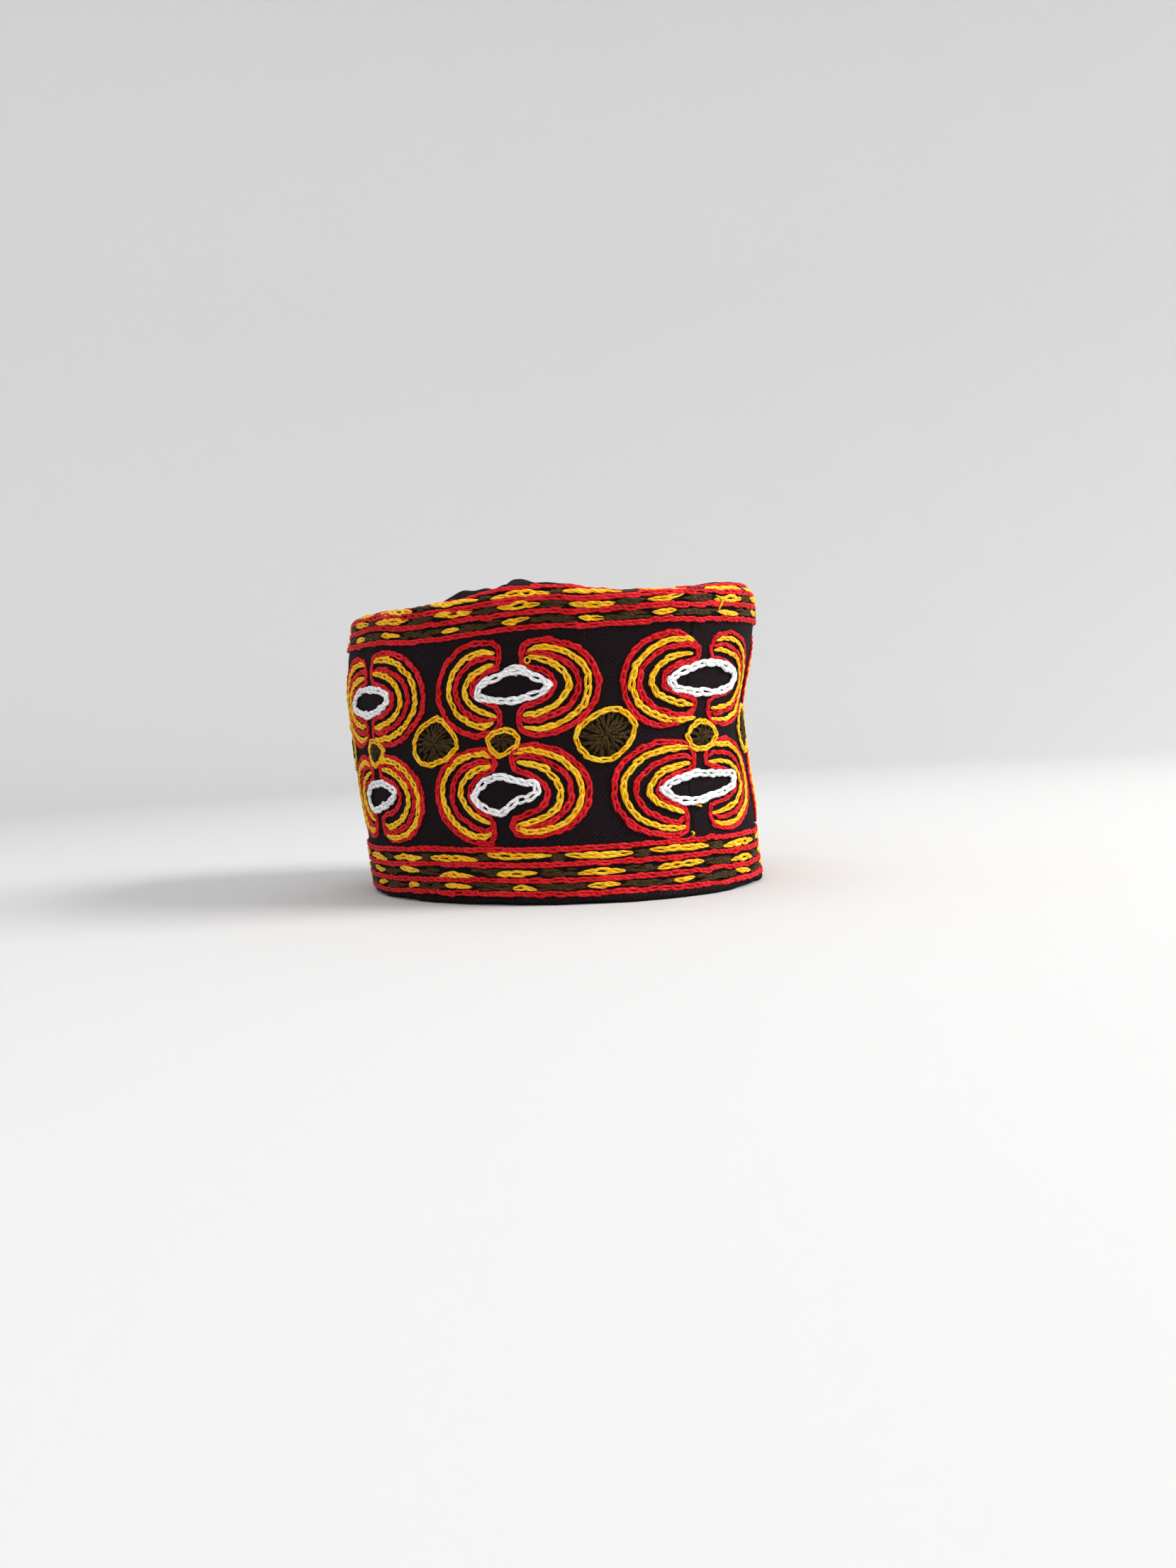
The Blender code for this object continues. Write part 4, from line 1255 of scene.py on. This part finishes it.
# %% How the crown's slack lies
CROWN_FOLDS = table(
    "arc inset half_arc half_inset rise",
    (-127, 15, 14, 10, 6.4),
    (-108, 15, 10, 10, 4.0),
    (-85, 15, 9, 12, 4.0),
    (-50, 24, 22, 16, -1.6),
    (40, 28, 24, 18, -2.4),
    (120, 28, 36, 16, -2.4),
    (190, 34, 24, 15, 0.4),
    (-190, 32, 30, 14, -1.6),
)
CREASES = {"count": 31.0, "bends": 5.0, "bend": 1.7, "rise": 0.30, "inset": 13, "half_inset": 8}
CROWN_RUMPLE = table(
    "length direction height start",
    (52, 25, 0.55, 0.6),
    (37, 80, 0.40, 2.2),
    (26, 150, 0.24, 4.1),
)
RUMPLE_BEND = {"depth": 1.1, "waves": 3.3}


def crown_rumple(place):
    """Low uneven waves of slack cloth, at places across and along the crown."""
    height = np.zeros(len(place))
    for wave in CROWN_RUMPLE:
        length = wave["length"] * MM
        direction = math.radians(wave["direction"])
        run = place[:, 0] * math.cos(direction) + place[:, 1] * math.sin(direction)
        aside = place[:, 1] * math.cos(direction) - place[:, 0] * math.sin(direction)
        bend = RUMPLE_BEND["depth"] * np.sin(RUMPLE_BEND["waves"] * aside / length)
        height = height + wave["height"] * MM * np.sin(2.0 * math.pi * run / length + wave["start"] + bend)
    return height


def crown_height(arcs, inset):
    """How far the crown's slack and its fine creases lift it here."""
    height = np.zeros_like(arcs)
    for fold in CROWN_FOLDS:
        beside = apart(arcs, fold["arc"]) / (fold["half_arc"] * MM)
        inwards = (inset - fold["inset"] * MM) / (fold["half_inset"] * MM)
        height = height + fold["rise"] * MM * np.exp(-(beside**2) - inwards**2)
    turn = arcs / GIRTH * 2.0 * math.pi
    crease = np.sin(turn * CREASES["count"] + CREASES["bend"] * np.sin(turn * CREASES["bends"]))
    inwards = (inset - CREASES["inset"] * MM) / (CREASES["half_inset"] * MM)
    return height + CREASES["rise"] * MM * crease * np.exp(-(inwards**2))


print("folds:", len(CROWN_FOLDS), "and waves:", len(CROWN_RUMPLE))

# %% The crown
CROWN_RISE = 1.0 * MM
CROWN_START = 0.1 * MM
BEND_LOOPS = 9
TOP_LOOPS = 42
LAST_SHARE = 0.996


def crown_face(outward):
    """The loops of one face of the crown. Its slack fades in from the seam and out towards the middle."""
    loops = [cloth_loop(EDGE + way, outward) for way in np.linspace(CROWN_START, CROWN_BEND, BEND_LOOPS)]
    start = loops[-1]
    middle = start.mean(axis=0)
    edge_height = start[:, 2].mean()
    for share in np.append(np.linspace(0.0, 1.0, TOP_LOOPS)[1:-1], LAST_SHARE):
        loop = start + (middle - start) * share
        inset = np.linalg.norm(loop[:, :2] - start[:, :2], axis=1) + CROWN_BEND
        dome = edge_height + CROWN_RISE * smooth(share**0.8)
        loop[:, 2] = start[:, 2] + (dome - start[:, 2]) * smooth(share * 1.4)
        loop[:, 2] += crown_height(cloth_arcs, inset) * smooth(share * 6.0) * smooth((1.0 - share) * 3.0)
        loop[:, 2] += (crown_rumple(loop) - crown_rumple(middle[None])) * smooth((share - 0.12) * 3.0)
        loops.append(loop)
    pole = middle.copy()
    pole[2] = edge_height + CROWN_RISE
    return loops, pole


outer_loops, outer_pole = crown_face(0.0)
inner_loops, inner_pole = crown_face(-CROWN_WALL)
crown_poles = np.array([outer_pole, inner_pole])
crown_piece = shell_object("crown_cloth", inner_loops[::-1] + outer_loops, plain_twill, poles=crown_poles)
dress(crown_piece, "crown")
print("crown faces:", len(crown_piece.data.polygons))

# %% [markdown]
# The hem is the band's own edge, folded in and up. Its fold is not crisp: it swells and thins where the
# needle passed. The section is drawn once, with a round fold, and carried round the cap with a little
# unevenness.

# %% The hem
HEM_TOP = 14.5
# Each row: millimetres out from the cloth's face, and millimetres up.
HEM_SECTION = [
    (0.0, 3.5), (0.25, 2.6), (0.3, 1.6), (0.1, 0.7), (-0.5, 0.15), (-1.6, 0.0), (-2.8, 0.1), (-3.6, 0.6),
    (-3.9, 1.6), (-3.9, 5.0), (-3.9, 9.0), (-3.8, 13.0), (-3.5, HEM_TOP), (-3.0, 13.6), (-2.75, 9.0),
    (-2.7, 5.0), (-2.5, 3.6),
]
SWELLING_OUT_TO = -3.0
DROOPING_BELOW = 1.0
MAP_STEP = 0.4
swell = uneven(CLOTH_STATIONS, 2, 0.20) + uneven(CLOTH_STATIONS, 8, 0.34)
droop = np.abs(uneven(CLOTH_STATIONS, 4, 0.45))
hem_loops = []
for outward, height in HEM_SECTION:
    push = swell if SWELLING_OUT_TO < outward else 0.0 * swell
    rise = np.full(CLOTH_STATIONS, height) + droop * (height < DROOPING_BELOW)
    loop = cloth_point(cloth_arcs, rise * MM, (outward + push) * MM)[0]
    loop[:, 2] = rise * MM
    hem_loops.append(loop)
hem_map = np.array([height for _, height in HEM_SECTION]) + np.arange(len(HEM_SECTION)) * MAP_STEP
hem_piece = shell_object("hem_fold", hem_loops[::-1], plain_twill, hem_map[::-1], joined=True)
dress(hem_piece, "hem")
print("hem faces:", len(hem_piece.data.polygons))

# %% [markdown]
# ## Loose ends
# Hand work leaves traces: a tail of yellow yarn across the top border, two snipped ends under the front
# medallion, a knot beside a crescent. They are small, and the cap looks machine-made without them.

# %% Tails and knots
TAILS = {
    "yellow": [
        [(1.5, 119.6), (4.5, 118.4), (4.0, 116.2), (3.2, 114.4), (4.6, 113.2)],
        [(-6.9, 35.9), (-5.4, 35.5), (-4.2, 35.2)],
        [(-10.6, 25.6), (-10.3, 24.8), (-10.5, 23.9)],
    ],
    "red": [
        [(-38.6, 31.6), (-37.4, 29.7), (-35.6, 28.3), (-34.4, 27.4)],
        [(-93.2, 30.6), (-93.6, 29.4), (-92.6, 29.0)],
    ],
}
TAIL_YARN = {"radius": 0.55, "height": 1.5, "points": 9}
KNOTS = {"yellow": (-74.8, 97.4), "red": (5.4, 73.0)}
KNOT = {"size": 1.15, "points": 10, "height": 0.9, "radius": 0.42}


def loose_ends(colour):
    """The tails and the knot of one colour."""
    batches = [plain_batch(TAILS[colour], **TAIL_YARN)]
    arc, up = KNOTS[colour]
    count = KNOT["points"]
    turn = np.linspace(0.0, 2.0 * math.pi, count, endpoint=False)
    arcs = (arc + KNOT["size"] * np.cos(turn)) * MM
    ups = (up + KNOT["size"] * np.sin(turn)) * MM
    centre, normal = cloth_point(arcs, ups, np.full(count, KNOT["height"] * MM))
    batches.append((centre[None], normal[None], np.full((1, count), KNOT["radius"] * MM), True))
    piece = strands_object(f"loose_ends_{colour}", batches, YARNS[colour])
    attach(piece, "root")


loose_ends("red")
loose_ends("yellow")
print("tails:", sum(len(paths) for paths in TAILS.values()), "and knots:", len(KNOTS))

# %% [markdown]
# ## Floor, light and camera
# The cap stands on a pale sweep that curves up behind it, so no edge shows. The light is soft and comes
# mostly from the right and above, as it does on the real cap. The camera is low and a little rolled.

# %% The sweep
SWEEP_GREY = (0.535, 0.535, 0.535)
SWEEP = {"flat": 1.2, "bend": 0.8, "steps": 12, "top": 3.2, "sides": 48}


def make_sweep():
    """A pale floor that curves up into a wall all round."""
    flat, bend = SWEEP["flat"], SWEEP["bend"]
    section = [(0.0, 0.0), (flat, 0.0)]
    for step in range(1, SWEEP["steps"] + 1):
        angle = math.radians(step * 90.0 / SWEEP["steps"])
        section.append((flat + bend * math.sin(angle), bend - bend * math.cos(angle)))
    section.append((flat + bend, SWEEP["top"]))
    turn = np.linspace(0.0, 2.0 * math.pi, SWEEP["sides"], endpoint=False)
    across, along, level = np.cos(turn), np.sin(turn), np.ones(SWEEP["sides"])
    loops = [np.stack([far * across, far * along, high * level], axis=1) for far, high in section]
    material = bpy.data.materials.new("pale sweep")
    material.use_nodes = True
    shader = material.node_tree.nodes["Principled BSDF"]
    shader.inputs["Base Color"].default_value = (*SWEEP_GREY, 1.0)
    shader.inputs["Roughness"].default_value = 0.95
    shader.inputs["Specular IOR Level"].default_value = 0.1
    sweep = shell_object("sweep", loops, material)
    sweep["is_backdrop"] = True
    return sweep


print("sweep faces:", len(make_sweep().data.polygons))

# %% The camera
CAMERA_TURN = math.radians(40.0)
CAMERA_DISTANCE = 0.66
CAMERA_HEIGHT = 0.0726
CAMERA_YAW = math.radians(1.21)
CAMERA_PITCH = math.radians(-2.525)
CAMERA_ROLL = math.radians(-3.095)
CAMERA_SETTINGS = {"sensor_width": 36.0, "lens": 33.34, "clip_start": 0.01, "clip_end": 20.0}


def set_in_place(thing, right, above, back, place):
    """Turns an object to these three directions, and puts it at this place in the scene."""
    turned = Matrix([right, above, back]).transposed().to_4x4()
    turned.translation = place
    thing.matrix_world = turned
    bpy.context.scene.collection.objects.link(thing)


def make_camera():
    """A low camera in front of the cap's right side, with its own small yaw, pitch and roll."""
    up = np.array([0.0, 0.0, 1.0])
    ahead = np.array([math.sin(CAMERA_TURN), math.cos(CAMERA_TURN), 0.0])
    right = np.cross(ahead, up)
    place = -ahead * CAMERA_DISTANCE + PLACE + up * CAMERA_HEIGHT
    ahead = ahead * math.cos(CAMERA_YAW) + right * math.sin(CAMERA_YAW)
    right = np.cross(ahead, up)
    ahead = ahead * math.cos(CAMERA_PITCH) + up * math.sin(CAMERA_PITCH)
    above = np.cross(right, ahead)
    rolled_right = right * math.cos(CAMERA_ROLL) + above * math.sin(CAMERA_ROLL)
    rolled_above = above * math.cos(CAMERA_ROLL) - right * math.sin(CAMERA_ROLL)
    data = bpy.data.cameras.new("camera")
    for name, value in CAMERA_SETTINGS.items():
        setattr(data, name, value)
    camera = bpy.data.objects.new("camera", data)
    set_in_place(camera, rolled_right, rolled_above, -ahead, place)
    bpy.context.scene.camera = camera
    print("camera at", np.round(place, 3))


make_camera()

# %% The lights
LIGHTS = table(
    "name place size energy color",
    ("window", (1.1, -1.5, 1.2), 1.1, 83.0, (1.0, 0.99, 0.97)),
    ("room", (-1.6, -1.1, 0.9), 1.4, 14.5, (0.97, 0.98, 1.0)),
    ("ceiling", (0.0, 0.2, 2.0), 1.8, 17.5, (1.0, 1.0, 1.0)),
)
LIGHTS_AIM = np.array([0.0, 0.0, 0.06])
STRAIGHT_DOWN = 0.05
WORLD_COLOUR = (0.9, 0.92, 0.95, 1.0)
WORLD_STRENGTH = 0.745


def make_lights():
    """Soft square lights aimed at the middle of the cap, and an even grey world."""
    for light in LIGHTS:
        data = bpy.data.lights.new(light["name"], "AREA")
        for name in ("size", "energy", "color"):
            setattr(data, name, light[name])
        back = np.array(light["place"]) - LIGHTS_AIM
        back = back / np.linalg.norm(back)
        side = np.cross((0.0, 0.0, 1.0), back)
        if np.linalg.norm(side) < STRAIGHT_DOWN:
            side = np.array([1.0, 0.0, 0.0])
        side = side / np.linalg.norm(side)
        lamp = bpy.data.objects.new(light["name"], data)
        set_in_place(lamp, side, np.cross(back, side), back, light["place"])
    world = bpy.data.worlds.new("room light")
    world.use_nodes = True
    background = world.node_tree.nodes["Background"]
    background.inputs["Color"].default_value = WORLD_COLOUR
    background.inputs["Strength"].default_value = WORLD_STRENGTH
    bpy.context.scene.world = world
    bpy.context.scene.view_settings.view_transform = "Standard"


make_lights()
print("lights:", [light["name"] for light in LIGHTS])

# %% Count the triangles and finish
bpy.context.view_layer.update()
triangles = {piece.name: sum(len(face.vertices) - 2 for face in piece.data.polygons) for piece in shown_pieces()}
print("triangles in all:", sum(triangles.values()), "and at most", max(triangles.values()), "a piece")
